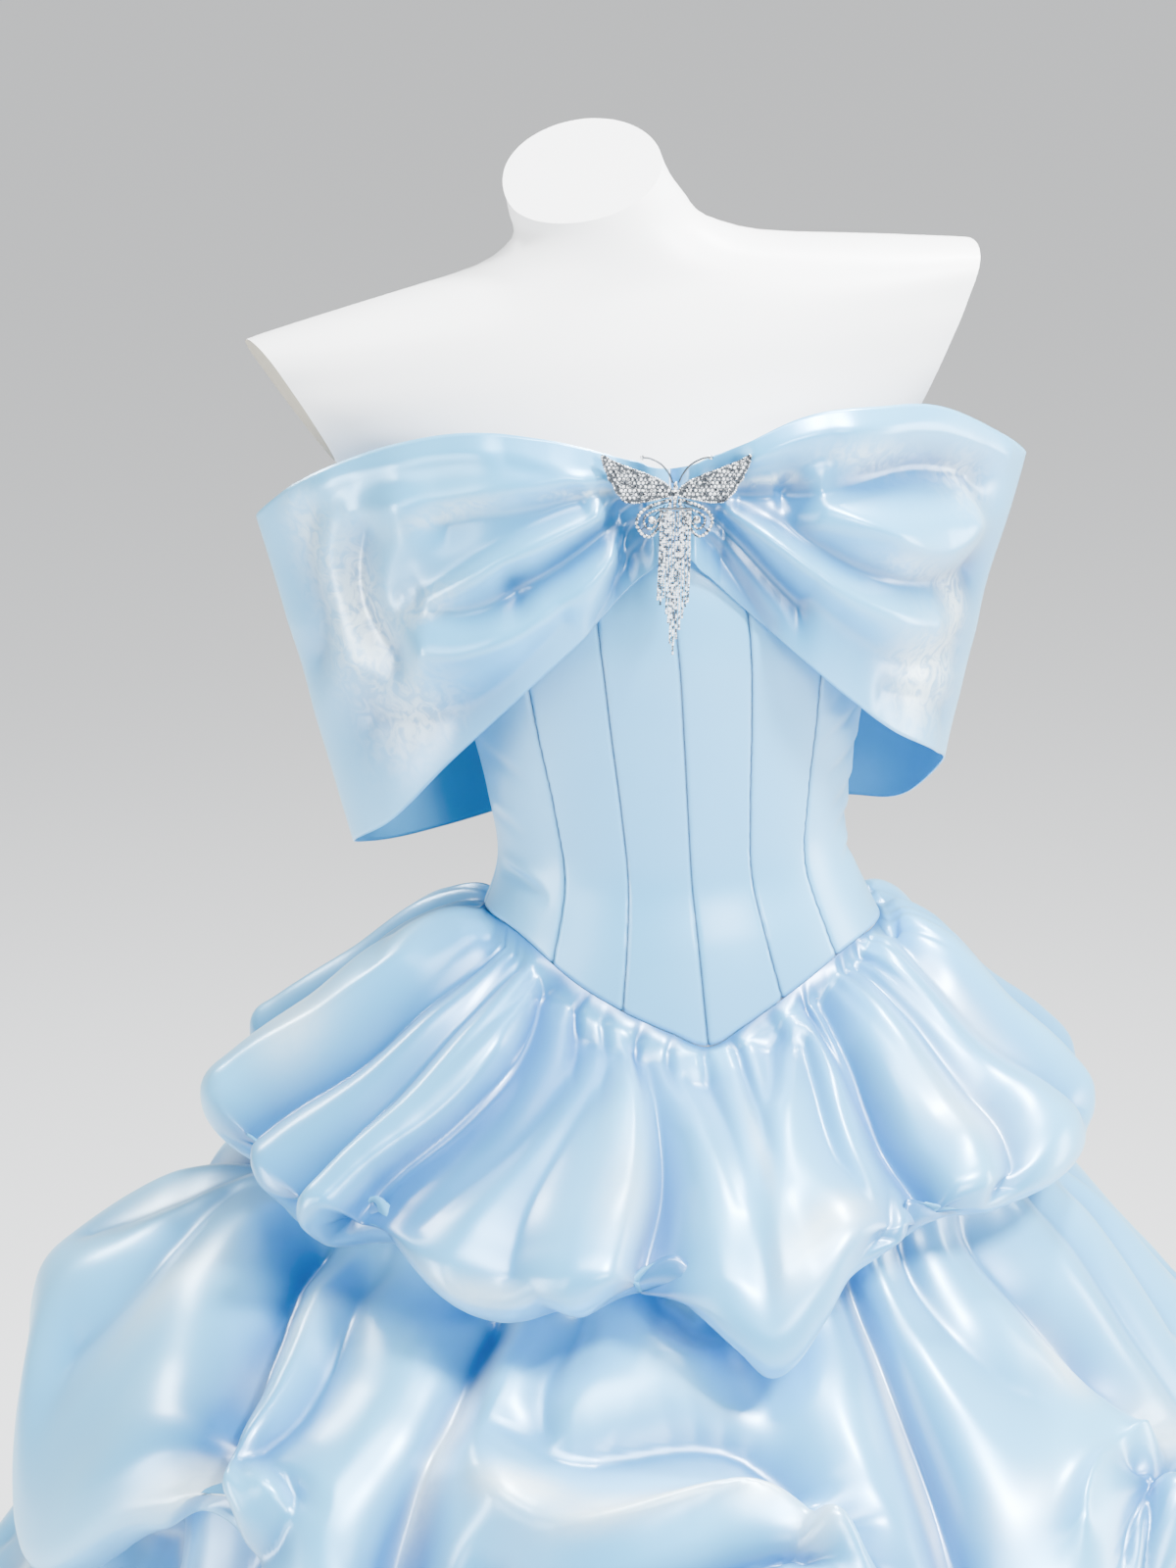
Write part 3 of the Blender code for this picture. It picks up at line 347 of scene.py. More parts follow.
steel = brushed_steel()
for name, profile in STAND_PARTS.items():
    profile = np.array(profile[::-1])
    turn = np.linspace(0, FULL_TURN, STAND_SIDES, endpoint=False)[None, :]
    radius, height = profile[:, :1], profile[:, 1:]
    points = np.stack(np.broadcast_arrays(radius * np.cos(turn), radius * np.sin(turn),
                                          height), -1).reshape(-1, 3)
    faces = grid_faces(len(profile), STAND_SIDES, True).tolist()
    last = (len(profile) - 1) * STAND_SIDES
    faces += [list(range(STAND_SIDES)), list(range(last + STAND_SIDES - 1, last - 1, -1))]
    mesh = bpy.data.meshes.new(name + "_turned")
    mesh.from_pydata(points.tolist(), [], faces)
    mesh.materials.append(steel)
    link_object(name + "_turned", mesh, "brushed_steel", name)
    mesh.set_sharp_from_angle(angle=math.radians(50))

# ------------------------------------------------------------------ the bodice
# Ten panels of bonded satin cut along the body and seamed from the top edge to the pointed
# waist; the seams pull their edges in a little and pucker them.
WALL = 0.0022            # satin with its backing
SEAM = 0.0003            # gap between two pieces that are sewn together
EASE = 0.0018            # gap between the form and the bodice
SEAM_RADIUS = 0.12       # of the body at the seams, to turn their gap into an angle
PANEL_COLUMNS = 36
PANEL_ROWS = 100
PANEL_SHELL = 0.0012
SEAM_PULL = 0.0008       # how far the seams draw the cloth in
SEAM_REACH = 0.0016      # and over what distance
SEAM_SHADE_HALF_WIDTH = 0.0009       # half the width of the line of painted shade along a seam
WAIST_SEAM = table(
    "angle z",
    (-180, 1.028), (-135, 1.036), (-90, 1.041), (-58, 1.035), (-31, 1.005), (-9, 0.977),
    (0, 0.966), (9, 0.977), (20, 0.991), (38, 1.008), (90, 1.016), (135, 1.022),
)
PANEL_SEAMS = table(
    "top   waist",
    (-180, -180), (-138, -140), (-92, -92), (-50, -44), (-26, -21), (-6, 0),
    (13, 20), (38, 41), (86, 90), (136, 140), (180, 180),
)
PANEL_NAMES = (
    "bodice_centre_back_left", "bodice_side_back_left", "bodice_side_left",
    "bodice_side_front_left", "bodice_centre_front_left", "bodice_centre_front_right",
    "bodice_side_front_right", "bodice_side_right", "bodice_side_back_right",
    "bodice_centre_back_right",
)
PANEL_CUTS = (           # width at the widest and height of each panel's pattern
    (0.078, 0.27), (0.092, 0.27), (0.098, 0.29), (0.072, 0.33), (0.062, 0.37),
    (0.062, 0.37), (0.070, 0.33), (0.098, 0.30), (0.092, 0.28), (0.078, 0.27),
)
BODICE_TOP = table(
    "angle z",
    (-180, 1.262), (-120, 1.270), (-80, 1.290), (-40, 1.322), (0, 1.312),
    (40, 1.322), (80, 1.290), (120, 1.270),
)
# soft wrinkles across the bodice: angle and height of both ends, depth and width
WRINKLES = table(
    "a0    z0     a1    z1     deep    wide",
    (40, 1.150, 78, 1.172, 0.0016, 0.0055),
    (46, 1.128, 84, 1.138, 0.0018, 0.0050),
    (52, 1.104, 88, 1.112, 0.0016, 0.0050),
    (58, 1.086, 92, 1.088, 0.0018, 0.0045),
    (44, 1.176, 70, 1.202, 0.0013, 0.0060),
    (60, 1.062, 96, 1.060, 0.0020, 0.0050),
    (-84, 1.160, -54, 1.140, 0.0012, 0.0060),
    (-88, 1.108, -60, 1.100, 0.0012, 0.0055),
    (-84, 1.070, -50, 1.060, 0.0026, 0.0050),
    (118, 1.090, 160, 1.096, 0.0016, 0.0060),
    (114, 1.126, 150, 1.136, 0.0014, 0.0060),
    (-164, 1.094, -122, 1.088, 0.0016, 0.0060),
    (-158, 1.132, -120, 1.122, 0.0014, 0.0060),
)


def waist_height(angle):
    """Height of the seam between bodice and skirt, round the body."""
    return around(angle, WAIST_SEAM["angle"], WAIST_SEAM["z"])


def satin(name, colour, pale, deep, shade, roughness, frost, even):
    """Crisp polyester satin: a broad metallic sheen under a thin gloss, paler where it turns away
    from the eye (painted sheen), darker in its folds, gathers and seams (painted shade, from a point
    attribute) and whitish in patches broken by a crushed grain (painted sheen, from another point
    attribute), with long faint streaks of its threads."""
    made, tree, shader = principled(name, Roughness=roughness, Metallic=0.22,
                                    Specular_IOR_Level=0.8, Sheen_Weight=0.08,
                                    Sheen_Roughness=0.35, Sheen_Tint=srgb("CFE6FF"),
                                    Coat_Weight=0.34, Coat_Roughness=0.24, Coat_IOR=1.7)
    coordinates = node(tree, "ShaderNodeTexCoord")
    place, flat = coordinates.outputs["Object"], coordinates.outputs["UV"]
    drift = node(tree, "ShaderNodeTexNoise", dict(Scale=7.0, Detail=2.0, Distortion=0.6),
                 Vector=place)
    drift_ramp = node(tree, "ShaderNodeMapRange", {"From Min": 0.35, "From Max": 0.65},
                      Value=drift.outputs[0])
    ground = node(tree, "ShaderNodeMix", dict(data_type="RGBA", A=srgb(deep),
                                              B=srgb(colour)), Factor=drift_ramp.outputs[0])
    # painted sheen: the colour turns paler where the surface turns away from the eye
    facing = node(tree, "ShaderNodeLayerWeight", dict(Blend=0.30))
    lit = node(tree, "ShaderNodeMix", dict(data_type="RGBA", B=srgb(pale)),
               Factor=facing.outputs["Facing"], A=ground.outputs[2])
    # painted shade: a point attribute darkens the colour towards the shade colour in folds, gathers and
    # seams
    painted_shade = node(tree, "ShaderNodeAttribute", dict(attribute_name="painted_shade"))
    steps = node(tree, "ShaderNodeMapRange", {"From Min": 0.03, "To Max": 0.95},
                 Value=painted_shade.outputs["Fac"])
    with_painted_shade = node(tree, "ShaderNodeMix", dict(data_type="RGBA", B=srgb(shade)),
                  Factor=steps.outputs[0], A=lit.outputs[2])
    # painted sheen: whitish patches from a point attribute, broken by a crushed grain
    crush_and_painted_sheen = node(tree, "ShaderNodeAttribute", dict(attribute_name="crush_and_painted_sheen"))
    crushed = node(tree, "ShaderNodeTexNoise", dict(Scale=80.0, Detail=7.0, Distortion=1.6),
                   Vector=place)
    grain = node(tree, "ShaderNodeMapRange", {"From Min": 0.40, "From Max": 0.58,
                                              "To Min": even}, Value=crushed.outputs[0])
    patch = node(tree, "ShaderNodeMath", dict(operation="MULTIPLY"))
    tree.links.new(crush_and_painted_sheen.outputs["Fac"], patch.inputs[0])
    tree.links.new(grain.outputs[0], patch.inputs[1])
    with_crush_and_painted_sheen = node(tree, "ShaderNodeMix", dict(data_type="RGBA", B=srgb("DCF4FF")),
                   Factor=patch.outputs[0], A=with_painted_shade.outputs[2])
    tree.links.new(with_crush_and_painted_sheen.outputs[2], shader.inputs["Base Color"])
    drawn = node(tree, "ShaderNodeMapping", dict(Scale=(260.0, 16.0, 1.0)), Vector=flat)
    threads = node(tree, "ShaderNodeTexNoise", dict(Scale=4.0, Detail=3.0),
                   Vector=drawn.outputs[0])
    dust = node(tree, "ShaderNodeTexNoise", dict(Scale=900.0, Detail=2.0), Vector=place)
    both = node(tree, "ShaderNodeMath", dict(operation="MULTIPLY_ADD"))
    tree.links.new(threads.outputs[0], both.inputs[0])
    both.inputs[1].default_value = 0.35
    tree.links.new(dust.outputs[0], both.inputs[2])
    bump = node(tree, "ShaderNodeBump", dict(Strength=frost, Distance=0.0003),
                Height=both.outputs[0])
    tree.links.new(bump.outputs[0], shader.inputs["Normal"])
    return made


def satin_reverse_painted_dark():
    """The satin's wrong side: matt, with no gloss over it, and a deeper blue that is painted shade for
    the inner sides.
    """
    return principled("ice_blue_satin_reverse", Base_Color=srgb("3A8FBE"), Roughness=0.62)[0]


def cloth(name, points, painted_shade, crush_and_painted_sheen, closed, finish, shell, flip, *replaced):
    """A shell over a grid of points, with the painted shade and sheen that its satin reads as attributes.
    Its UV is in metres: along the mean row, and down the mean column.  A closed grid joins
    its last column to its first."""
    rows, columns = points.shape[:2]
    quads = grid_faces(rows, columns, closed)
    turns = columns if closed else columns - 1
    step = np.linalg.norm(points[:, 1:] - points[:, :-1], axis=-1).mean()
    down = np.linalg.norm(points[1:] - points[:-1], axis=-1).mean(1)
    v = np.concatenate(([0], np.cumsum(down)))
    i = np.arange(rows - 1)[:, None, None] + np.array((0, 1, 1, 0))
    k = np.arange(turns)[None, :, None] + np.array((0, 0, 1, 1))
    i, k = np.broadcast_arrays(i, k)
    uv = np.stack((k * step, v[i]), -1).reshape(-1, 4, 2)
    if flip:
        quads, uv = quads[:, ::-1], uv[:, ::-1]
    mesh = bpy.data.meshes.new(name)
    mesh.from_pydata(points.reshape(-1, 3).tolist(), [], quads.tolist())
    layer = mesh.uv_layers.new(name="metres")
    layer.data.foreach_set("uv", uv.astype(np.float32).ravel())
    # point attributes for the satin: painted shade, and painted sheen broken by a crushed grain
    for label, values in (("painted_shade", painted_shade), ("crush_and_painted_sheen", crush_and_painted_sheen)):
        layer = mesh.attributes.new(label, "FLOAT", "POINT")
        layer.data.foreach_set("value", values.astype(np.float32).ravel())
    mesh.materials.append(finish)
    # the inner side of each shell: the wrong side, painted a deeper blue as shade
    mesh.materials.append(reverse_painted_dark)
    made = link_object(name, mesh, "ice_blue_satin", *replaced)
    solid = made.modifiers.new("thickness", "SOLIDIFY")
    solid.thickness = shell
    solid.offset = -1.0
    solid.material_offset = 1
    return made


def panel_grid(start, end, columns, rows):
    """The body's section moved out by EASE + WALL, less the pull of the panel's seams and its
    wrinkles, between two seams and from the top edge down to the waist; and a line of painted
    shade along each seam."""
    across = np.linspace(0, 1, columns)
    across = (across - 0.12 * np.sin(FULL_TURN * across))[None, :]
    up = np.linspace(1, 0, rows)[:, None]
    start_angle = start[1] + (start[0] - start[1]) * up
    end_angle = end[1] + (end[0] - end[1]) * up
    angle = np.radians(start_angle + (end_angle - start_angle) * across)
    angle = angle + SEAM / SEAM_RADIUS * (0.5 - across)
    low = waist_height(angle)
    high = around(angle, BODICE_TOP["angle"], BODICE_TOP["z"])
    z = low + (high - low) * up
    width = np.radians(end_angle - start_angle) * SEAM_RADIUS
    edge = np.minimum(across, 1 - across) * width
    pucker = 1 + 0.45 * np.sin(z * 900 + 3 * np.sin(z * 210)) * np.exp(-edge / 0.004)
    pull = SEAM_PULL * np.exp(-(edge / SEAM_REACH) ** 2) * pucker
    degrees = np.degrees(angle)
    for row in zip(*WRINKLES.values()):
        a0, z0, a1, z1, deep, wide = row
        t = np.clip((degrees - a0) / (a1 - a0), -0.3, 1.3)
        height = z0 + (z1 - z0) * t + 0.004 * np.sin(math.pi * t)
        fade = np.clip(1 - (2 * t - 1) ** 2, 0, 1)
        off = (z - height) / wide
        pull = pull + deep * fade * (np.exp(-off ** 2) - 0.5 * np.exp(-(off - 1.5) ** 2))
    # the second value is a line of painted shade along the panel's seams
    return leaned(upright_body(angle, z, EASE + WALL - pull)), np.exp(-(edge / SEAM_SHADE_HALF_WIDTH) ** 2)


reverse_painted_dark = satin_reverse_painted_dark()
# colours: base, paler at a grazing view (painted sheen), a deeper tone at random, and the painted shade
# of folds and seams
bodice_satin = satin("bonded_bodice_satin", "5CB9EC", "84CFF5", "52B2E8", "20618F", 0.40, 0.05, 0.9)
seams = list(zip(PANEL_SEAMS["top"], PANEL_SEAMS["waist"]))
for name, start, end, cut in zip(PANEL_NAMES, seams, seams[1:], PANEL_CUTS):
    grid, seam_shade = panel_grid(start, end, PANEL_COLUMNS, PANEL_ROWS)
    cloth(name.replace("bodice", "panel"), grid, seam_shade, 0 * seam_shade,
                         False, bodice_satin, PANEL_SHELL, False, name)

# ------------------------------------------------------------------ the skirt's three tiers
# Each tier is one ring of satin, gathered into the seam above it, drawn in again at its hem
# and tucked under, so that it stands out as a bubble; its hem is caught up here and there.
SKIRT_SHARE = 0.990      # the skirt's radius as a share of its tables
SKIRT_REACH = 0.045      # it reaches further on its -X side, as a share of its radius
WAIST_DROP = 0.0005      # the gathers start this much under the bodice's edge
TOP_SHARE = 0.45         # this much of a tier still follows the seam above it
CATCH_START, CATCH_RUN, CATCH_PULL, CATCH_END = 0.25, 0.50, 0.35, 0.85
SKIRT_TILT = table(
    "r    rise",
    (0.00, 0.000), (0.25, 0.015), (0.31, 0.030), (0.37, 0.050), (0.43, 0.046),
    (0.49, 0.026), (0.56, 0.012),
)
TIER_1_PROFILE = table(
    "v     r      z_front  z_side",
    (0.00, 0.120, 0.9660, 1.0310),
    (0.07, 0.142, 0.9600, 1.0350),
    (0.20, 0.188, 0.9430, 1.0160),
    (0.40, 0.248, 0.9100, 0.9560),
    (0.58, 0.295, 0.8740, 0.9080),
    (0.70, 0.320, 0.8480, 0.8780),
    (0.78, 0.321, 0.8290, 0.8560),
    (0.86, 0.301, 0.8170, 0.8400),
    (0.93, 0.273, 0.8230, 0.8430),
    (1.00, 0.243, 0.8420, 0.8560),
)
TIER_2_PROFILE = table(
    "v     r      z_front  z_side",
    (0.00, 0.243, 0.8415, 0.8555),
    (0.06, 0.256, 0.8160, 0.8330),
    (0.16, 0.300, 0.7940, 0.8140),
    (0.30, 0.345, 0.7620, 0.7800),
    (0.45, 0.392, 0.7220, 0.7340),
    (0.60, 0.438, 0.6800, 0.6880),
    (0.72, 0.466, 0.6430, 0.6500),
    (0.82, 0.470, 0.6120, 0.6180),
    (0.90, 0.442, 0.5960, 0.6000),
    (1.00, 0.392, 0.6140, 0.6160),
)
TIER_3_PROFILE = table(
    "v     r      z_front  z_side",
    (0.00, 0.392, 0.6135, 0.6155),
    (0.08, 0.405, 0.5880, 0.5900),
    (0.22, 0.455, 0.5640, 0.5680),
    (0.42, 0.505, 0.5280, 0.5320),
    (0.62, 0.535, 0.4850, 0.4880),
    (0.78, 0.540, 0.4460, 0.4480),
    (0.90, 0.515, 0.4270, 0.4290),
    (1.00, 0.480, 0.4400, 0.4420),
)
TIER_1_CAUGHT = table(
    "angle lift",
    (-180, 0.030), (-160, 0.016), (-142, 0.026), (-122, 0.010), (-100, 0.014), (-76, 0.012),
    (-62, 0.005), (-50, 0.017), (-36, 0.012), (-24, 0.023), (-14, 0.030), (-5, 0.008),
    (-1, 0.000), (5, 0.026), (10, 0.050), (15, 0.057), (20, 0.056), (28, 0.060), (40, 0.058), (56, 0.058),
    (80, 0.044), (104, 0.046), (124, 0.026), (146, 0.036), (166, 0.020),
)
TIER_2_CAUGHT = table(
    "angle lift",
    (-172, 0.000), (-150, 0.085), (-122, 0.005), (-93, 0.085), (-76, 0.010), (-55, 0.100),
    (-30, 0.005), (2, 0.105), (20, 0.015), (38, 0.100), (62, 0.010), (86, 0.080),
    (110, 0.005), (136, 0.090), (162, 0.060),
)
NO_CATCH = table("angle lift", (-180, 0.0), (-60, 0.0), (60, 0.0))

# A fold runs on a cubic through four places (a, v): a is an angle in degrees, v the share
# of the tier from its seam to its hem.  Depths are in metres and a ridge's is negative;
# wide is the distance over which it fades; lean pushes its sides over to +a.
FOLD = "a0 v0 a1 v1 a2 v2 a3 v3 deep0 deep3 wide0 wide3 lean"
TIER_1_FOLDS = table(
    FOLD,
    (-117, .035, -106, .10, -98, .18, -84, .24, .008, .004, .010, .012, 0.3),
    (-71, .036, -70, .20, -77, .50, -76, .82, .016, .032, .011, .022, 0.3),
    (-56, .039, -60, .24, -63, .50, -65, .80, .016, .026, .010, .018, 0.3),
    (-38, .037, -40, .24, -47, .48, -49, .84, .022, .044, .012, .022, -0.5),
    (-29, .065, -34, .24, -39, .42, -43, .62, .020, .014, .010, .013, 0.3),
    (-22, .075, -30, .29, -32, .48, -31, .68, .014, .014, .010, .016, 0.2),
    (-12.7, .05, -11.2, .31, -12, .52, -13, .85, .018, .044, .009, .018, -0.2),
    (-3.3, .08, -3, .17, -2.8, .27, -2.6, .40, .014, .004, .009, .011, 0.0),
    (11.5, .042, 9, .125, 5.5, .21, 1.5, .36, .017, .005, .009, .012, 0.2),
    (19.2, .09, 16, .25, 15, .39, 14.9, .60, .015, .010, .009, .014, 0.2),
    (31, .03, 29.3, .205, 26.5, .41, 24, .84, .020, .038, .010, .018, -0.2),
    (28.3, .287, 24, .40, 20, .51, 15, .74, .010, .018, .009, .016, 0.1),
    (46, .03, 46.3, .23, 45, .44, 36.5, .74, .016, .020, .010, .016, 0.1),
    (72, .03, 61, .20, 62, .40, 64.4, .70, .013, .016, .011, .018, 0.0),
    (84, .04, 88, .24, 86, .52, 80, .84, .007, .024, .014, .026, 0.0),
    (99, .04, 102, .24, 103, .50, 100, .84, .012, .028, .014, .026, 0.0),
    (-102, .04, -106, .28, -106, .56, -103, .84, .012, .032, .013, .026, 0.4),
    (-27, .66, -28, .70, -27, .77, -25, .86, .002, .012, .008, .011, 0.0),
    (-19, .72, -19, .75, -18, .80, -16, .88, .002, .010, .008, .010, 0.0),
    (-6, .70, -7, .74, -6, .79, -5, .88, .002, .010, .008, .010, 0.0),
    (-25, .03, -26, .10, -27, .18, -27, .30, .011, .003, .007, .010, 0.0),
    (-17, .04, -17.5, .12, -18, .20, -18, .34, .011, .003, .007, .010, 0.0),
    (-8, .05, -7.6, .14, -7, .22, -6.5, .36, .011, .003, .007, .010, 0.0),
    (4, .06, 4, .14, 3.4, .20, 2.6, .28, .008, .003, .006, .008, 0.0),
    (24, .03, 23, .12, 22, .22, 21, .36, .011, .003, .008, .012, 0.0),
    (37, .03, 37, .14, 36.5, .28, 35, .46, .012, .004, .008, .014, 0.0),
    (54, .03, 54, .14, 55, .28, 55, .44, .006, .003, .010, .014, 0.0),
    (-46, .04, -48, .16, -52, .30, -54, .48, .012, .004, .008, .014, 0.0),
    (-64, .03, -65.5, .16, -68, .32, -70, .52, .012, .005, .008, .014, 0.0),
    (-43.5, .20, -47, .34, -51, .48, -54, .66, -.008, -.014, .010, .016, 0.0),
    (-17, .16, -16.5, .32, -17, .48, -18, .68, -.007, -.011, .010, .018, 0.0),
    (-7, .22, -6.6, .34, -6.4, .46, -6, .60, -.005, -.009, .009, .016, 0.0),
    (8, .20, 5, .32, 3, .44, 2, .60, -.005, -.008, .009, .014, 0.0),
    (33.5, .16, 32, .30, 30, .44, 29, .62, -.006, -.010, .010, .016, 0.0),
    (-80, .20, -83, .34, -86, .48, -87, .64, -.006, -.010, .010, .016, 0.0),
)
TIER_2_FOLDS = table(
    FOLD,
    (-92, .17, -86, .29, -83, .40, -83, .56, .007, .014, .013, .018, 0.0),
    (-74, .10, -63.5, .29, -57, .55, -54, .82, .022, .046, .012, .022, 0.5),
    (-58, .11, -51.5, .26, -49, .45, -50, .64, .015, .026, .011, .015, -0.3),
    (-59, .86, -54, .76, -50.5, .68, -46.5, .62, -.020, -.014, .014, .012, 0.0),
    (-46, .58, -46, .70, -49, .80, -53, .90, .022, .014, .012, .012, 0.4),
    (-36, .08, -34.6, .22, -34.4, .35, -34, .58, .024, .038, .010, .018, -0.4),
    (-32, .07, -32.2, .15, -31.8, .24, -31.3, .32, -.012, -.016, .009, .011, 0.0),
    (-27, .06, -28.2, .12, -28.4, .18, -27, .25, .014, .016, .009, .012, 0.4),
    (-30, .26, -20, .28, -9, .23, 0, .31, .016, .022, .018, .016, 0.0),
    (-30, .36, -19, .43, -8, .42, 1, .58, -.024, -.020, .022, .016, 0.0),
    (-27, .50, -17, .60, -8, .60, -1, .66, .024, .030, .018, .016, 0.0),
    (13.5, .05, 14, .24, 14.3, .37, 12.9, .56, .020, .034, .010, .016, 0.4),
    (24, .05, 24, .12, 27, .20, 32, .26, .012, .008, .011, .014, 0.3),
    (40.8, .08, 44, .19, 47, .28, 48.5, .40, .014, .034, .012, .018, -0.5),
    (48, .37, 41, .44, 34, .45, 27.7, .50, -.018, -.014, .018, .014, 0.0),
    (47, .46, 41, .57, 35, .59, 30, .62, .024, .018, .014, .014, 0.0),
    (76, .14, 73, .22, 70.5, .29, 68, .34, .012, .010, .012, .012, 0.3),
    (-18, .052, -14, .09, -10, .105, -6, .073, -.010, -.009, .008, .008, 0.0),
    (-20, .03, -14, .05, -9, .062, -5, .035, .010, .008, .007, .007, 0.0),
    (2, .42, -3, .60, -9, .76, -15, .92, .026, .014, .016, .016, 0.3),
    (3, .42, 7, .62, 11, .78, 15, .92, .026, .014, .018, .018, -0.4),
    (38, .50, 34, .64, 30, .78, 26, .92, .026, .014, .018, .018, 0.4),
    (39, .48, 43, .62, 48, .78, 53, .92, .026, .014, .018, .018, -0.4),
    (62, .06, 57, .22, 55, .40, 56, .62, .013, .014, .013, .018, 0.4),
    (84, .06, 88, .26, 87, .44, 86, .60, .014, .036, .014, .022, 0.4),
    (86, .52, 80, .64, 75, .78, 71, .92, .026, .014, .018, .018, 0.4),
    (87, .52, 93, .64, 98, .78, 101, .92, .026, .014, .018, .018, -0.4),
    (112, .06, 108, .30, 108, .52, 110, .80, .014, .026, .016, .024, 0.4),
    (-120, .06, -124, .30, -122, .52, -118, .80, .014, .026, .016, .024, 0.4),
    (-104, .06, -99, .20, -98, .36, -99, .54, .008, .012, .016, .020, 0.0),
)
TIER_3_FOLDS = table(
    FOLD,
    (-172, .04, -170, .30, -171, .60, -174, .95, .015, .028, .020, .030, 0.2),
    (-150, .04, -152, .30, -151, .60, -146, .95, .015, .028, .020, .030, 0.2),
    (-126, .04, -122, .30, -123, .60, -126, .95, .015, .028, .020, .030, -0.2),
    (-104, .04, -108, .30, -106, .60, -102, .95, .017, .028, .020, .030, 0.3),
    (-96, .30, -92, .22, -88, .16, -85, .06, .010, .012, .010, .010, 0.3),
    (-83, .26, -84, .18, -84, .10, -81, .03, .009, .012, .009, .009, 0.3),
    (-88, .10, -90, .30, -87, .60, -82, .95, .015, .020, .026, .026, -0.3),
    (-70, .04, -66, .30, -68, .60, -70, .95, .015, .028, .020, .030, 0.3),
    (-54, .04, -58, .24, -57, .56, -54, .95, .020, .026, .018, .026, 0.3),
    (-36, .04, -34, .30, -35, .60, -38, .95, .015, .028, .020, .028, -0.3),
    (-18, .04, -22, .30, -21, .60, -18, .95, .015, .028, .020, .028, 0.3),
    (2, .04, 4, .30, 3, .60, 0, .95, .018, .020, .020, .028, 0.2),
    (22, .04, 18, .30, 19, .60, 22, .95, .015, .028, .020, .030, -0.3),
    (38, .04, 40, .26, 39, .56, 38, .95, .020, .026, .018, .026, 0.3),
    (58, .04, 62, .30, 61, .60, 58, .95, .015, .028, .020, .030, 0.2),
    (80, .04, 76, .30, 78, .60, 82, .95, .017, .028, .020, .030, -0.2),
    (102, .04, 106, .30, 104, .60, 100, .95, .015, .028, .020, .030, 0.2),
    (124, .04, 120, .30, 122, .60, 126, .95, .015, .028, .020, .030, 0.2),
    (148, .04, 152, .30, 151, .60, 148, .95, .015, .028, .020, .030, -0.2),
)
# patches of painted sheen, whitish and broken by a crushed grain: place, half width and height, strength
TIER_1_PAINTED_SHEEN = table(
    "angle v   wide high strength",
    (8, .58, 6, .08, .70), (-18, .42, 4, .16, .40), (40, .42, 6, .14, .45),
    (-85, .42, 4, .10, .55), (-34, .74, 6, .04, .50),
    (-15, .72, 2, .06, .50), (3, .30, 1.2, .12, .40), (62, .30, 3, .14, .30),
)
TIER_2_PAINTED_SHEEN = table(
    "angle v   wide high strength",
    (-26, .37, 4, .030, 1.0), (-18, .41, 5, .04, 1.0), (-10, .40, 5, .04, 1.0),
    (-3, .45, 3, .05, .9), (0, .56, 2, .06, .7), (-55, .79, 5, .06, .9),
    (-78, .34, 4, .12, .45), (-60, .28, 3, .12, .35), (-34, .30, 1.2, .16, .8),
    (41, .24, 4, .05, .9), (50, .46, 4, .10, .7), (13.2, .28, 0.8, .20, .6),
    (-11, .08, 3, .02, .6), (24, .40, 5, .05, .3),
)
TIER_3_PAINTED_SHEEN = table(
    "angle v   wide high strength",
    (-86, .20, 3, .10, .5), (-62, .20, 4, .08, .5), (-30, .30, 3, .10, .4),
    (10, .24, 3, .10, .4), (48, .24, 3, .10, .4), (76, .20, 3, .12, .4),
)
BACK_FROM_FRONT = 74     # folds nearer the front than this are repeated, mirrored, behind
FOLD_STEPS = 12          # straight steps along a fold
FOLD_FALL = 1.20         # how steeply a fold's side falls: 1 is a cusp, 2 a round trough
FOLD_ROUND = 0.0020      # metres over which the bottom of a fold is rounded
FOLD_SPREAD = 0.40       # the share of a fold that is a wider, rounder hollow
FOLD_WIDER = 2.2         # and how much wider it is
FOLD_BLEND = 3           # where folds meet, the deeper one wins, softly
TOP_HOLD = 0.012         # shares of a tier's length over which its folds fade out
HEM_HOLD = 0.16
TIERS = {                # flat is the ring's cut: its length round, and its height
    "skirt_tier_1": dict(profile=TIER_1_PROFILE, painted_sheen_patches=TIER_1_PAINTED_SHEEN,
                         folds=TIER_1_FOLDS, caught_above=NO_CATCH,
                         caught=TIER_1_CAUGHT, on_waist=True, gathers=44, gather_depth=0.0070,
                         gather_end=0.30, puff=0.006, columns=640, rows=76,
                         flat=(1.95, 0.33)),
    "skirt_tier_2": dict(profile=TIER_2_PROFILE, painted_sheen_patches=TIER_2_PAINTED_SHEEN,
                         folds=TIER_2_FOLDS,
                         caught_above=TIER_1_CAUGHT, caught=TIER_2_CAUGHT, on_waist=False,
                         gathers=46, gather_depth=0.0030, gather_end=0.14, puff=0.010,
                         columns=680, rows=71, flat=(3.00, 0.42)),
    "skirt_tier_3": dict(profile=TIER_3_PROFILE, painted_sheen_patches=TIER_3_PAINTED_SHEEN,
                         folds=TIER_3_FOLDS,
                         caught_above=TIER_2_CAUGHT, caught=NO_CATCH, on_waist=False,
                         gathers=70, gather_depth=0.0055, gather_end=0.30, puff=0.006,
                         columns=500, rows=56, flat=(4.00, 0.32)),
}


def with_back(folds):
    """The folds and, behind, a mirror image of those round the centre front, shifted."""
    front = np.abs(folds["a3"]) < BACK_FROM_FRONT
    mirrored = {name: column[front] for name, column in folds.items()}
    for name in ("a0", "a1", "a2", "a3"):
        mirrored[name] = 183 - mirrored[name]
    mirrored["lean"] = -mirrored["lean"]
    return {name: np.concatenate((folds[name], mirrored[name])) for name in folds}


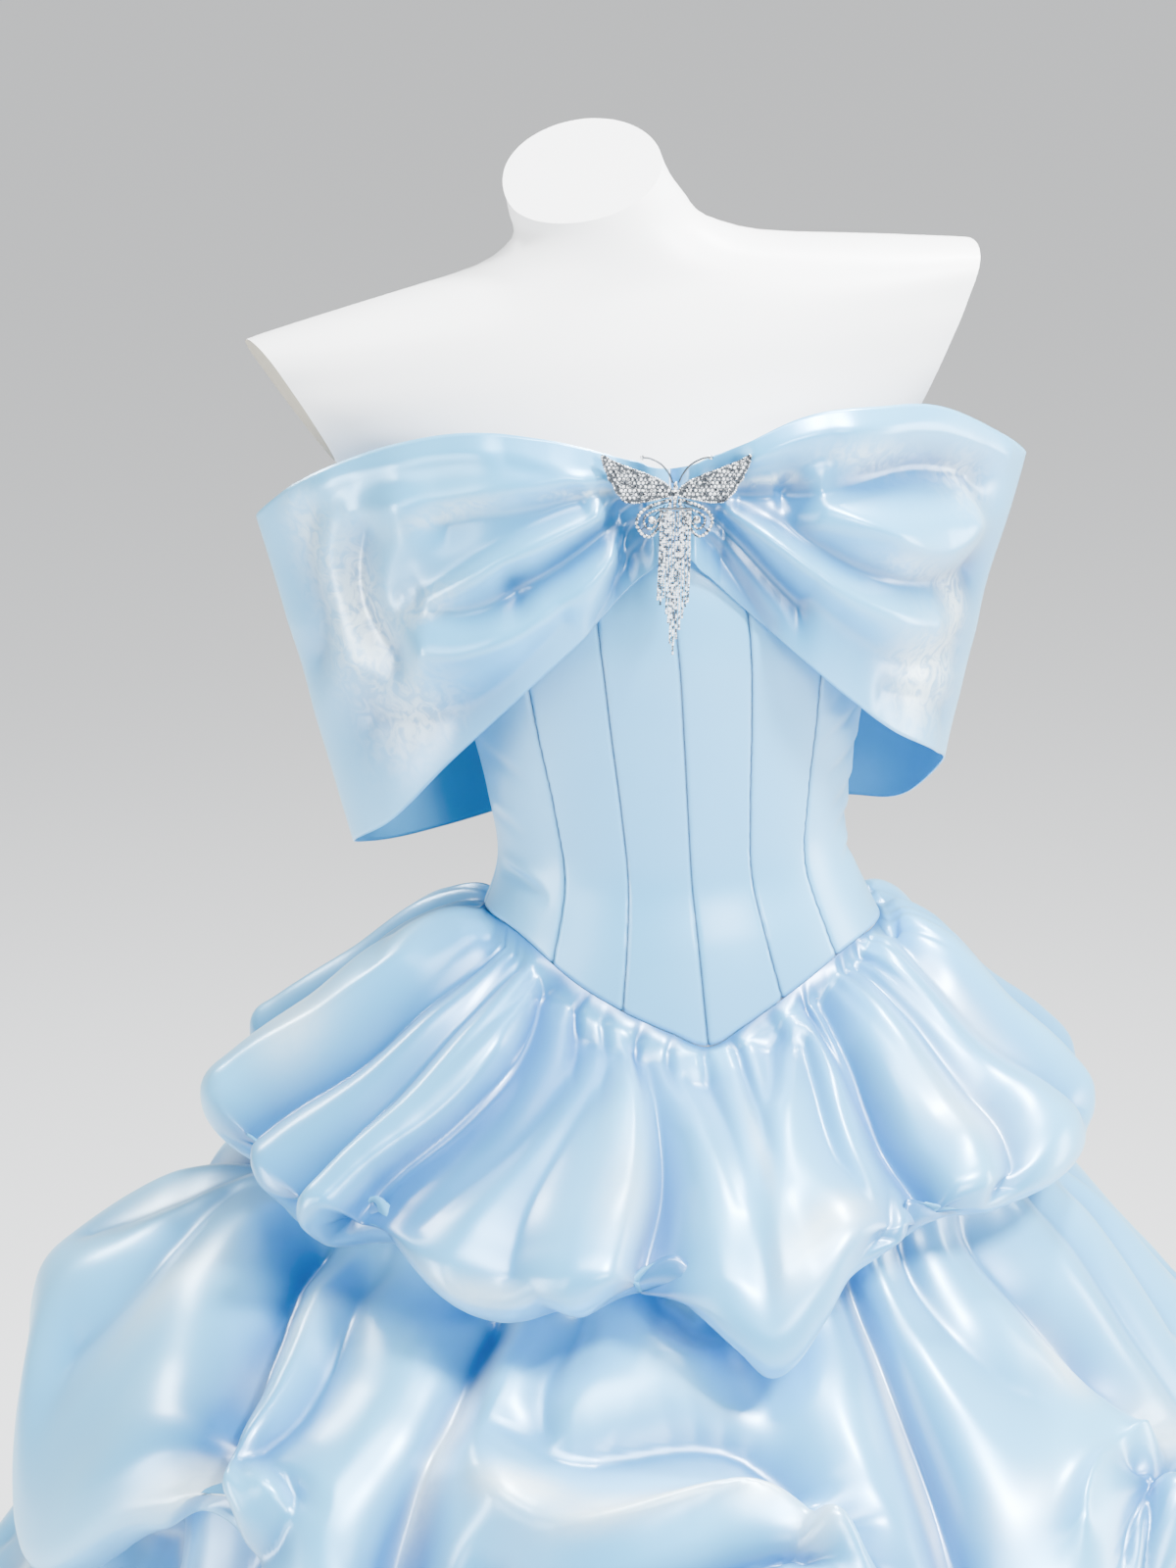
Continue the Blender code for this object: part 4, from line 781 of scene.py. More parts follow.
def cubic(t, p0, p1, p2, p3):
    """The cubic through p0, p1, p2 and p3 at t = 0, 1/3, 2/3 and 1."""
    a, b, c = 3 * t, 3 * t - 1, 3 * t - 2
    d = 3 * t - 3
    return -p0 * b * c * d / 6 + p1 * a * c * d / 2 - p2 * a * b * d / 2 + p3 * a * b * c / 6


def fold_field(dx, dy, fold):
    """Depth of one fold at each point: a crisp trough deep exp(-(distance / wide)^FOLD_FALL)
    in a wider round one.  dx(a, middle) and dy(v) are metres to a place, with the turn cut
    open opposite the fold's own middle."""
    t = np.linspace(0, 1, FOLD_STEPS + 1)
    middle = (fold["a0"] + fold["a3"]) / 2
    xs = [dx(a, middle) for a in cubic(t, fold["a0"], fold["a1"], fold["a2"], fold["a3"])]
    ys = [dy(v) for v in cubic(t, fold["v0"], fold["v1"], fold["v2"], fold["v3"])]
    nearest = np.full(np.broadcast(xs[0], ys[0]).shape, np.inf)
    place = np.zeros_like(nearest)
    for k in range(FOLD_STEPS):
        run_x, run_y = xs[k] - xs[k + 1], ys[k] - ys[k + 1]
        length = np.maximum(run_x ** 2 + run_y ** 2, 1e-12)
        s = np.clip((xs[k] * run_x + ys[k] * run_y) / length, 0, 1)
        distance = np.hypot(xs[k] - s * run_x, ys[k] - s * run_y)
        place = np.where(distance < nearest, (k + s) / FOLD_STEPS, place)
        nearest = np.minimum(nearest, distance)
    wide = fold["wide0"] + (fold["wide3"] - fold["wide0"]) * place
    deep = fold["deep0"] + (fold["deep3"] - fold["deep0"]) * place
    nearest = (np.hypot(nearest, FOLD_ROUND) - FOLD_ROUND) / wide
    return deep * ((1 - FOLD_SPREAD) * np.exp(-nearest ** FOLD_FALL)
                   + FOLD_SPREAD * np.exp(-(nearest / FOLD_WIDER) ** 2))


def all_folds(dx, dy, folds):
    """(trough, lean): troughs blended as (sum d^n)^(1/n), less the ridges blended so."""
    trough, ridge, lean = 0, 0, 0
    for row in zip(*folds.values()):
        fold = dict(zip(folds, row))
        deep = fold_field(dx, dy, fold)
        if fold["deep3"] > 0:
            trough = trough + deep ** FOLD_BLEND
            lean = lean + fold["lean"] * deep
        else:
            ridge = ridge + (-deep) ** FOLD_BLEND
    return trough ** (1 / FOLD_BLEND) - ridge ** (1 / FOLD_BLEND), lean


def tier_base(tier, angle, v):
    """Point of a tier before its folds: a bell whose upper ring sits on what is above."""
    profile = tier["profile"]
    r = smooth(v, profile["v"], profile["r"])
    sideways = np.where(np.cos(angle) > 0, np.sin(angle) ** 2, 1.0)
    z_front = smooth(v, profile["v"], profile["z_front"])
    z_side = smooth(v, profile["v"], profile["z_side"])
    z = z_front + (z_side - z_front) * sideways
    low = eased((v - CATCH_START) / CATCH_RUN)
    high = np.clip(1 - v / TOP_SHARE, 0, 1) ** 2
    lift = around(angle, tier["caught"]["angle"], tier["caught"]["lift"])
    lift_above = around(angle, tier["caught_above"]["angle"], tier["caught_above"]["lift"])
    z = z + lift * low + lift_above * high
    waist = high if tier["on_waist"] else 0 * v
    flare = 1 - waist
    r = r * (1 - (1 - SKIRT_SHARE + SKIRT_REACH * np.sin(angle)) * flare)
    r = r - CATCH_PULL * lift * low * (1 - np.clip((v - CATCH_END) / (1 - CATCH_END), 0, 1))
    z = z - smooth(r, SKIRT_TILT["r"], SKIRT_TILT["rise"]) * np.sin(angle) * flare
    seam_z = waist_height(angle)
    half, front, back, _ = body_sizes(seam_z)
    proud = EASE + WALL
    start_z = profile["z_front"][0] + (profile["z_side"][0] - profile["z_front"][0]) * sideways
    z = z + (seam_z - SEAM - WAIST_DROP - start_z) * waist
    across = r + (half + proud - profile["r"][0]) * waist
    depth = r + (np.where(np.cos(angle) > 0, front, back) + proud - profile["r"][0]) * waist
    return np.stack((across * np.sin(angle), -depth * np.cos(angle), z), -1)


def slopes(grid, closed):
    """Unit steps along and down a grid of points, and their cross product down x along."""
    if closed:
        wide = np.concatenate((grid[:, -1:], grid, grid[:, :1]), 1)
        along = np.gradient(wide, axis=1)[:, 1:-1]
    else:
        along = np.gradient(grid, axis=1)
    down = np.gradient(grid, axis=0)
    out = np.cross(down, along)
    return [step / np.maximum(np.linalg.norm(step, axis=-1, keepdims=True), 1e-12)
            for step in (along, down, out)]


def gathers(angle, v, tier):
    """Uneven small gathers under the seam: narrow troughs ((1 + cos n a) / 2)^3 whose phase
    wanders, each one as deep and as long as its own two slow waves say."""
    turn = angle + 0.035 * np.sin(5 * angle + 1) + 0.022 * np.sin(11 * angle)
    n = tier["gathers"]
    side = 0.35 + 0.65 * np.cos(angle) ** 2
    strength = 0.55 + 0.45 * np.sin(round(0.37 * n) * turn + 2 * np.sin(3 * angle))
    end = tier["gather_end"] * (1 + 0.55 * np.sin(round(0.31 * n) * turn + 0.7))
    fade = np.clip(1 - v / end, 0, 1) ** 1.2
    return side * strength * fade * (0.5 + 0.5 * np.cos(n * turn)) ** 3


def ripples(across, down):
    """Long low sine waves: the cloth's slack between its folds."""
    return (0.0012 * np.sin(34 * across + 1.4 * np.sin(13 * down) + 1.0)
            + 0.0008 * np.sin(57 * across - 17 * down + 1.2 * np.sin(21 * across)))


def painted_sheen_patches(angle, v, patches):
    """Soft oval patches of painted sheen exp(-(a / wide)^2 - (v / high)^2), and their mirror images
    behind.
    """
    total = 0
    for a, place, wide, high, strength in zip(*patches.values()):
        for centre in (a, 183 - a):
            off = (np.degrees(angle) - centre + 180) % 360 - 180
            total = total + strength * np.exp(-(off / wide) ** 2 - ((v - place) / high) ** 2)
    return np.clip(total, 0, 1)


def tier_grid(tier):
    """Outer points of a tier, the bell plus along its normal the puff, gathers, ripples and
    folds, and along the cloth the lean of its folds; its painted shade, by how deep in a fold or
    gather each point is and along its seam; and its patches of painted sheen."""
    angle = np.linspace(-math.pi, math.pi, tier["columns"], endpoint=False)[None, :]
    angle = angle - FRONT_DENSER * np.sin(angle)
    v = np.linspace(0, 1, tier["rows"])[:, None]
    angle, v = np.broadcast_arrays(angle, v)
    base = tier_base(tier, angle, v)
    radius = np.hypot(base[..., 0], base[..., 1])
    length = np.linalg.norm(np.diff(base[:, 0], axis=0), axis=-1).sum()
    along, down, out = slopes(base, True)

    def dx(a, middle):
        centred = (angle - math.radians(middle) + math.pi) % FULL_TURN - math.pi
        return (centred + math.radians(middle - a)) * radius

    def dy(place):
        return (v - place) * length

    trough, lean = all_folds(dx, dy, with_back(tier["folds"]))
    small = gathers(angle, v, tier)
    push = tier["puff"] * np.sin(math.pi * v) ** 2 - tier["gather_depth"] * small - trough
    push = push + ripples(angle * radius.mean(), v * length)
    hold = np.clip(v / TOP_HOLD, 0, 1) * np.clip((1 - v) / HEM_HOLD, 0, 1)
    grid = base + out * (push * hold)[..., None] + along * (lean * hold)[..., None]
    # painted shade: darker the deeper a fold or gather, fading out at the hem, with a dark line along the
    # seam at the top
    painted_shade = np.clip(trough / FULL_PAINTED_SHADE_DEPTH, 0, 1) ** 1.1 + 0.8 * small
    painted_shade = painted_shade * np.clip((1 - v) / HEM_HOLD, 0, 1) + np.exp(-(v * length / SEAM_SHADE_HALF_WIDTH) ** 2)
    return grid, np.clip(painted_shade, 0, 1), painted_sheen_patches(angle, v, tier["painted_sheen_patches"])


SHELL = 0.0010
FULL_PAINTED_SHADE_DEPTH = 0.024     # a fold this deep has the full painted shade
FRONT_DENSER = 0.30      # how much closer a tier's columns stand in front
# the loops' folds this deep have the full painted shade
LOOP_FULL_PAINTED_SHADE_DEPTH = 0.014
# colours: base, paler at a grazing view (painted sheen), a deeper tone at random, and the painted shade
# of folds, gathers and the waist seam
skirt_satin = satin("ice_blue_skirt_satin", "54BBEF", "8CD6FA", "44AEE9", "0E62A2", 0.34, 0.05, 0.9)
for name, tier in TIERS.items():
    grid, painted_shade, crush_and_painted_sheen = tier_grid(tier)
    cloth(name.replace("skirt", "satin"), grid, painted_shade, crush_and_painted_sheen, True,
                        skirt_satin, SHELL, False, name)

# ------------------------------------------------------------------ the bow
# Two wide loops of the same satin, each one strip pleated together at the centre front,
# swung out off the shoulder, turned sharply and brought back to the centre back.
LEFT_LOOP = table(
    "s      top_x   top_y   top_z  low_x   low_y   low_z  belly",
    (0.00, -0.0142, -0.1192, 1.354, -0.0142, -0.1197, 1.306, 0.001),
    (0.03, -0.0245, -0.1340, 1.358, -0.0220, -0.1335, 1.300, 0.002),
    (0.08, -0.0420, -0.1380, 1.364, -0.0360, -0.1370, 1.289, 0.006),
    (0.19, -0.0950, -0.1340, 1.381, -0.0730, -0.1370, 1.254, 0.014),
    (0.31, -0.1500, -0.114, 1.385, -0.1220, -0.128, 1.212, 0.018),
    (0.41, -0.2020, -0.080, 1.370, -0.1620, -0.100, 1.170, 0.014),
    (0.50, -0.2480, -0.035, 1.342, -0.2000, -0.050, 1.118, 0.006),
    (0.545, -0.2670, 0.000, 1.320, -0.2160, -0.010, 1.098, 0.000),
    (0.60, -0.2500, 0.040, 1.310, -0.2010, 0.036, 1.082, 0.008),
    (0.72, -0.1850, 0.092, 1.296, -0.1500, 0.082, 1.074, 0.012),
    (0.86, -0.0950, 0.112, 1.284, -0.0800, 0.101, 1.082, 0.005),
    (1.00, -0.0002, 0.1007, 1.276, -0.0002, 0.0876, 1.092, 0.000),
)
RIGHT_LOOP = table(
    "s      top_x   top_y   top_z  low_x   low_y   low_z  belly",
    (0.00, -0.0138, -0.1192, 1.354, -0.0138, -0.1197, 1.306, 0.001),
    (0.03, -0.0030, -0.1340, 1.358, -0.0065, -0.1335, 1.299, 0.002),
    (0.08, 0.0160, -0.1380, 1.364, 0.0060, -0.1370, 1.286, 0.006),
    (0.19, 0.0660, -0.1350, 1.383, 0.0440, -0.1380, 1.249, 0.014),
    (0.31, 0.1180, -0.116, 1.384, 0.0900, -0.130, 1.205, 0.018),
    (0.41, 0.1720, -0.082, 1.374, 0.1350, -0.102, 1.166, 0.014),
    (0.50, 0.2260, -0.036, 1.343, 0.1740, -0.052, 1.136, 0.006),
    (0.545, 0.2490, 0.000, 1.324, 0.1900, -0.008, 1.118, 0.000),
    (0.60, 0.2300, 0.040, 1.314, 0.1800, 0.036, 1.086, 0.008),
    (0.72, 0.1750, 0.092, 1.300, 0.1400, 0.082, 1.072, 0.012),
    (0.86, 0.0920, 0.112, 1.288, 0.0780, 0.101, 1.080, 0.005),
    (1.00, 0.0002, 0.1007, 1.276, 0.0002, 0.0876, 1.092, 0.000),
)
# a loop's folds: a is the place along the strip, v the share from its upper edge down
LEFT_FOLDS = table(
    FOLD,
    (.02, .22, .10, .24, .18, .31, .33, .30, .012, .008, .009, .016, 0.0),
    (.10, .15, .18, .20, .30, .21, .43, .15, -.006, -.007, .010, .014, 0.0),
    (.02, .38, .08, .42, .15, .56, .27, .63, .020, .012, .010, .014, 0.0),
    (.27, .63, .32, .62, .36, .56, .40, .47, .012, .006, .014, .012, 0.0),
    (.14, .42, .22, .46, .30, .49, .37, .51, -.007, -.006, .009, .012, 0.0),
    (.16, .34, .24, .39, .31, .44, .38, .47, .010, .008, .010, .014, 0.0),
    (.13, .70, .20, .76, .29, .77, .38, .66, -.006, -.008, .012, .016, 0.0),
    (.02, .52, .08, .60, .11, .72, .13, .86, .018, .010, .009, .014, 0.0),
    (.02, .66, .06, .72, .11, .84, .17, .98, .016, .008, .008, .015, 0.0),
    (.02, .10, .09, .10, .16, .15, .24, .11, .008, .004, .008, .012, 0.0),
    (.43, .22, .45, .34, .45, .46, .43, .60, .010, .008, .016, .016, 0.0),
    (.15, .20, .24, .09, .36, .06, .49, .03, -.005, -.005, .009, .010, 0.0),
    (.22, .84, .31, .90, .40, .86, .48, .70, .008, .008, .020, .020, 0.0),
    (.48, .10, .50, .24, .50, .36, .52, .46, .006, .006, .014, .014, 0.0),
    (.64, .22, .76, .30, .88, .32, 1.0, .30, .004, .008, .016, .014, 0.0),
    (.64, .70, .76, .64, .88, .60, 1.0, .60, .004, .008, .016, .014, 0.0),
    (.80, .46, .87, .46, .94, .45, 1.0, .45, .003, .006, .012, .010, 0.0),
    (.82, .82, .88, .80, .94, .78, 1.0, .76, .003, .006, .012, .010, 0.0),
)
RIGHT_FOLDS = table(
    FOLD,
    (.02, .20, .09, .18, .16, .22, .24, .20, .010, .006, .008, .013, 0.0),
    (.02, .36, .08, .36, .14, .38, .19, .37, .016, .012, .010, .012, 0.0),
    (.19, .37, .28, .30, .36, .22, .47, .17, .014, .012, .014, .014, 0.0),
    (.24, .37, .32, .42, .40, .44, .46, .30, -.009, -.008, .012, .013, 0.0),
    (.12, .40, .24, .55, .37, .56, .50, .42, .012, .012, .012, .016, 0.0),
    (.10, .46, .20, .62, .31, .68, .42, .64, -.006, -.007, .010, .014, 0.0),
    (.02, .50, .08, .54, .14, .68, .23, .80, .020, .012, .010, .015, 0.0),
    (.02, .64, .06, .70, .12, .84, .19, .98, .017, .008, .008, .015, 0.0),
    (.13, .12, .24, .08, .37, .07, .50, .05, -.005, -.005, .009, .010, 0.0),
    (.24, .76, .33, .80, .41, .78, .49, .66, .008, .008, .018, .018, 0.0),
    (.38, .90, .42, .88, .46, .86, .50, .86, .006, .006, .014, .014, 0.0),
    (.64, .24, .76, .32, .88, .33, 1.0, .32, .004, .008, .016, .014, 0.0),
    (.64, .68, .76, .62, .88, .61, 1.0, .62, .004, .008, .016, .014, 0.0),
    (.80, .47, .87, .47, .94, .46, 1.0, .46, .003, .006, .012, .010, 0.0),
    (.82, .82, .88, .80, .94, .79, 1.0, .78, .003, .006, .012, .010, 0.0),
)
LOOP_COLUMNS = 260
LOOP_ROWS = 84
FOLD_BOOST = 1.5         # the folds of the loops' front, deeper than their table says
LOOP_LENGTH = 0.78       # of the strip's middle line, for the widths of its folds
KNOT_DEEP = 0.10         # their folds are shallower nearer the knot than this
KNOT_HOLD = 0.03         # shares of a loop's length over which its folds fade out
BACK_HOLD = 0.06
# patches where the loops' satin is crushed, whitened by a grain that is partly its crush and partly
# painted sheen: place along and down the strip, half width and height, strength
LEFT_CRUSH_AND_PAINTED_SHEEN = table(
    "s    w    wide high strength",
    (.46, .45, .035, .25, .75), (.42, .80, .05, .10, .60), (.16, .27, .05, .03, .60),
    (.32, .26, .05, .03, .60), (.38, .52, .04, .05, .50), (.49, .15, .02, .12, .50),
)
RIGHT_CRUSH_AND_PAINTED_SHEEN = table(
    "s    w    wide high strength",
    (.44, .80, .05, .14, .95), (.47, .58, .025, .14, .90), (.30, .17, .07, .05, .55),
    (.46, .20, .03, .10, .55), (.16, .28, .04, .03, .60), (.38, .50, .06, .03, .50),
)
BOW = (("bow_loop_left", LEFT_LOOP, LEFT_FOLDS, LEFT_CRUSH_AND_PAINTED_SHEEN, -1),
       ("bow_loop_right", RIGHT_LOOP, RIGHT_FOLDS, RIGHT_CRUSH_AND_PAINTED_SHEEN, 1))


def loop_grid(sections, folds, patches, hand):
    """Rulings from edge to edge, top + (low - top) w, moved out by the belly 4w(1 - w) and
    in by the folds."""
    s = np.linspace(0, 1, LOOP_COLUMNS)[None, :]
    w = np.linspace(0, 1, LOOP_ROWS)[:, None]
    s, w = np.broadcast_arrays(s, w)
    edge = {name: smooth(s, sections["s"], sections[name]) for name in sections if name != "s"}
    top = np.stack([edge["top_" + k] for k in "xyz"], -1)
    low = np.stack([edge["low_" + k] for k in "xyz"], -1)
    base = top + (low - top) * w[..., None]
    out = slopes(base, False)[2] * hand
    height = np.linalg.norm(top - low, axis=-1)
    trough, _ = all_folds(lambda a, _: (s - a) * LOOP_LENGTH, lambda v: (w - v) * height,
                          folds)
    trough = trough * np.clip(s / KNOT_DEEP, 0.25, 1) * FOLD_BOOST
    push = edge["belly"] * 4 * w * (1 - w) - trough
    push = push + 0.6 * ripples(s * LOOP_LENGTH, w * height + 0.3 * hand)
    held = np.clip(s / KNOT_HOLD, 0, 1) * np.clip((1 - s) / BACK_HOLD, 0, 1)
    # patches whitened by a crushed grain and painted sheen, and painted shade by how deep in a fold each
    # point is
    crush_and_painted_sheen = sum(strength * np.exp(-((s - a) / wide) ** 2 - ((w - v) / high) ** 2)
                for a, v, wide, high, strength in zip(*patches.values()))
    painted_shade = np.clip(trough / LOOP_FULL_PAINTED_SHADE_DEPTH, 0, 1) ** 1.3 * held
    return base + out * (push * held)[..., None], painted_shade, np.clip(crush_and_painted_sheen, 0, 1)


# colours: base, paler at a grazing view (painted sheen), a deeper tone at random, and the painted shade
# of the folds
bow_satin = satin("ice_blue_bow_satin", "52B9EE", "8CD6FA", "42ACE8", "12659E", 0.32, 0.10, 0.3)
for name, sections, folds, patches, hand in BOW:
    grid, painted_shade, crush_and_painted_sheen = loop_grid(sections, folds, patches, hand)
    loop = cloth(name.replace("bow", "satin"), grid, painted_shade, crush_and_painted_sheen, False, bow_satin, SHELL,
                 hand < 0, name)

# ------------------------------------------------------------------ the brooch
# A cast butterfly set with small round crystals: a plate with raised rims and veins for the
# upper wings, open teardrops below, and two wire feelers that end in curls.
BROOCH_CENTRE = (-0.0155, -0.1428, 1.3420)
BROOCH_PLACE = Matrix.Translation(BROOCH_CENTRE) @ Matrix.Rotation(BEND_ANGLE, 4, "Y") \
    @ Matrix.Rotation(math.pi / 2, 4, "X")
UPPER_WING = (           # one wing's outline in millimetres, across and up
    (2.0, 3.0), (8.0, 8.5), (18.0, 13.0), (30.0, 17.5), (40.0, 21.5), (46.5, 25.0),
    (45.5, 18.5), (43.0, 13.5), (42.0, 10.0), (39.0, 6.5), (37.5, 2.5), (34.5, -0.5),
    (32.0, -3.5), (27.0, -4.5), (20.0, -4.0), (10.0, -2.0), (2.0, 0.0),
)
LOWER_WING = (
    (3.0, -3.0), (9.0, -4.5), (16.0, -7.0), (21.5, -11.0), (23.8, -16.0), (22.5, -21.0),
    (19.0, -25.0), (15.0, -25.8), (11.0, -22.0), (7.0, -15.0), (4.0, -8.0),
)
INNER_SHARE = 0.55       # the inner teardrop as a share of the lower wing
VEINS = (                # from the body to the scallops of the upper wing
    ((3.0, 2.5), (16.0, 8.0), (30.0, 12.0), (44.5, 21.0)),
    ((3.0, 2.0), (16.0, 5.0), (30.0, 7.5), (42.0, 11.0)),
    ((3.0, 1.5), (14.0, 2.5), (26.0, 3.0), (37.0, 3.0)),
    ((3.0, 1.0), (12.0, 0.0), (20.0, -1.2), (31.0, -3.0)),
)
FEELER = ((1.9, 7.9), (4.2, 13.0), (9.0, 19.0), (16.0, 22.8), (21.5, 23.6))
PLATE_LOW, PLATE_HIGH = 0.3, 1.7
GEM_SIDES = 8
PAVE_PITCH = 2.7
PAVE_RADIUS = 1.15


def through(points, count, shut):
    """A Catmull-Rom curve of count points through the given ones."""
    points = np.array(points, float)
    size = len(points)
    t = np.linspace(0, size if shut else size - 1, count, endpoint=not shut)
    k = np.minimum(t.astype(int), size - (1 if shut else 2))
    f = (t - k)[:, None]
    if shut:
        p = [points[(k + j) % size] for j in (-1, 0, 1, 2)]
    else:
        p = [points[np.clip(k + j, 0, size - 1)] for j in (-1, 0, 1, 2)]
    return 0.5 * (2 * p[1] + (p[2] - p[0]) * f
                  + (2 * p[0] - 5 * p[1] + 4 * p[2] - p[3]) * f ** 2
                  + (3 * p[1] - p[0] - 3 * p[2] + p[3]) * f ** 3)


def spaced(line, pitch):
    """Points on a line at an even distance of about pitch."""
    run = np.concatenate(([0], np.cumsum(np.linalg.norm(np.diff(line, axis=0), axis=-1))))
    count = max(2, int(round(run[-1] / pitch)) + 1)
    at = np.linspace(0, run[-1], count)
    return np.stack([np.interp(at, run, line[:, k]) for k in range(line.shape[1])], -1)


def inside(points, outline):
    """Which points lie in a closed outline, by the even-odd rule."""
    x, y = points[:, :1], points[:, 1:2]
    x0, y0 = outline[:, 0], outline[:, 1]
    x1, y1 = np.roll(x0, -1), np.roll(y0, -1)
    crosses = (y0 > y) != (y1 > y)
    level = (x1 - x0) * (y - y0) / np.where(y1 == y0, 1e-9, y1 - y0) + x0
    return (crosses & (x < level)).sum(1) % 2 == 1


class Gathered:
    """Verts and faces gathered from many small parts, for one mesh."""

    def __init__(self):
        self.verts, self.faces, self.kinds, self.count = [], [], [], 0

    def add(self, verts, faces, kind):
        self.verts.append(np.asarray(verts, float))
        self.faces += [[corner + self.count for corner in face] for face in faces]
        self.kinds += [kind] * len(faces)
        self.count += len(verts)

    def mesh(self, name, place, *finishes):
        """One mesh in metres of parts given in millimetres, put in place by a matrix."""
        verts = np.concatenate(self.verts) / 1000
        matrix = np.array(place)
        made = bpy.data.meshes.new(name)
        made.from_pydata((verts @ matrix[:3, :3].T + matrix[:3, 3]).tolist(), [], self.faces)
        for finish in finishes:
            made.materials.append(finish)
        made.polygons.foreach_set("material_index", self.kinds)
        return made


def tube(line, radius, sides, shut):
    """A round wire along a line: circles across it, joined, with flat ends if not shut."""
    line = np.asarray(line, float)
    ahead = np.roll(line, -1, 0) - np.roll(line, 1, 0) if shut else np.gradient(line, axis=0)
    ahead /= np.linalg.norm(ahead, axis=-1, keepdims=True)
    side = np.cross(ahead, (0, 0, 1))
    side /= np.maximum(np.linalg.norm(side, axis=-1, keepdims=True), 1e-9)
    up = np.cross(side, ahead)
    turn = np.linspace(0, FULL_TURN, sides, endpoint=False)
    ring = side[:, None] * np.cos(turn)[None, :, None] + up[:, None] * np.sin(turn)[:, None]
    points = (line[:, None] + ring * radius).reshape(-1, 3)
    count = len(line)
    faces = []
    for i in range(count if shut else count - 1):
        j = (i + 1) % count
        for k in range(sides):
            n = (k + 1) % sides
            faces.append((i * sides + k, i * sides + n, j * sides + n, j * sides + k))
    if not shut:
        faces.append(tuple(range(sides - 1, -1, -1)))
        faces.append(tuple((count - 1) * sides + k for k in range(sides)))
    return points, faces


def crystal(centre, radius, turn=0.0):
    """A small cut crystal: a girdle, a crown of facets and a table, in a low round cup."""
    around_it = np.linspace(0, FULL_TURN, GEM_SIDES, endpoint=False) + turn
    rings = ((0.92, -0.25, 0), (1.0, 0.10, 0), (0.86, 0.30, 0), (0.52, 0.62, 0.5))
    points = []
    for share, height, skip in rings:
        at = around_it + skip * FULL_TURN / GEM_SIDES
        points.append(np.stack((share * np.cos(at), share * np.sin(at),
                                np.full(GEM_SIDES, height)), -1))
    points = np.concatenate(points) * radius + np.array(centre)
    faces = []
    for ring in range(3):
        for k in range(GEM_SIDES):
            n = (k + 1) % GEM_SIDES
            low, high = ring * GEM_SIDES, (ring + 1) * GEM_SIDES
            if ring < 2:
                faces.append((low + k, low + n, high + n, high + k))
            else:
                faces.append((low + k, low + n, high + k))
                faces.append((low + n, high + n, high + k))
    faces.append(tuple(range(GEM_SIDES - 1, -1, -1)))
    faces.append(tuple(3 * GEM_SIDES + k for k in range(GEM_SIDES)))
    return points, faces


def shade_darkened_silver():
    """Rhodium plating, darkened all over as painted shade so that the gaps between the crystals read
    dark: sharp reflections with a soft edge.
    """
    return principled("bright_silver_plating", Base_Color=srgb("777D84"), Metallic=1.0,
                      Roughness=0.22)[0]


def cut_crystal():
    """Foil-backed crystal: mirror facets of blue-white under clear glass, spotted at random with
    near-black; the bright and dark spots are painted glints and painted reflections.
    """
    made, tree, shader = principled("foiled_cut_crystal", Metallic=0.35, Roughness=0.08,
                                    Coat_Weight=1.0, Coat_Roughness=0.02)
    place = node(tree, "ShaderNodeTexCoord").outputs["Object"]
    # painted glints: a fine noise spots the colour blue-white or near-black
    painted_glint_noise = node(tree, "ShaderNodeTexNoise", dict(Scale=520.0, Detail=1.0), Vector=place)
    painted_glint = node(tree, "ShaderNodeMapRange", {"From Min": 0.42, "From Max": 0.58},
                 Value=painted_glint_noise.outputs[0])
    tint = node(tree, "ShaderNodeMix", dict(data_type="RGBA", A=srgb("F4F8FB"),
                                            B=srgb("2A3037")), Factor=painted_glint.outputs[0])
    tree.links.new(tint.outputs[2], shader.inputs["Base Color"])
    return made


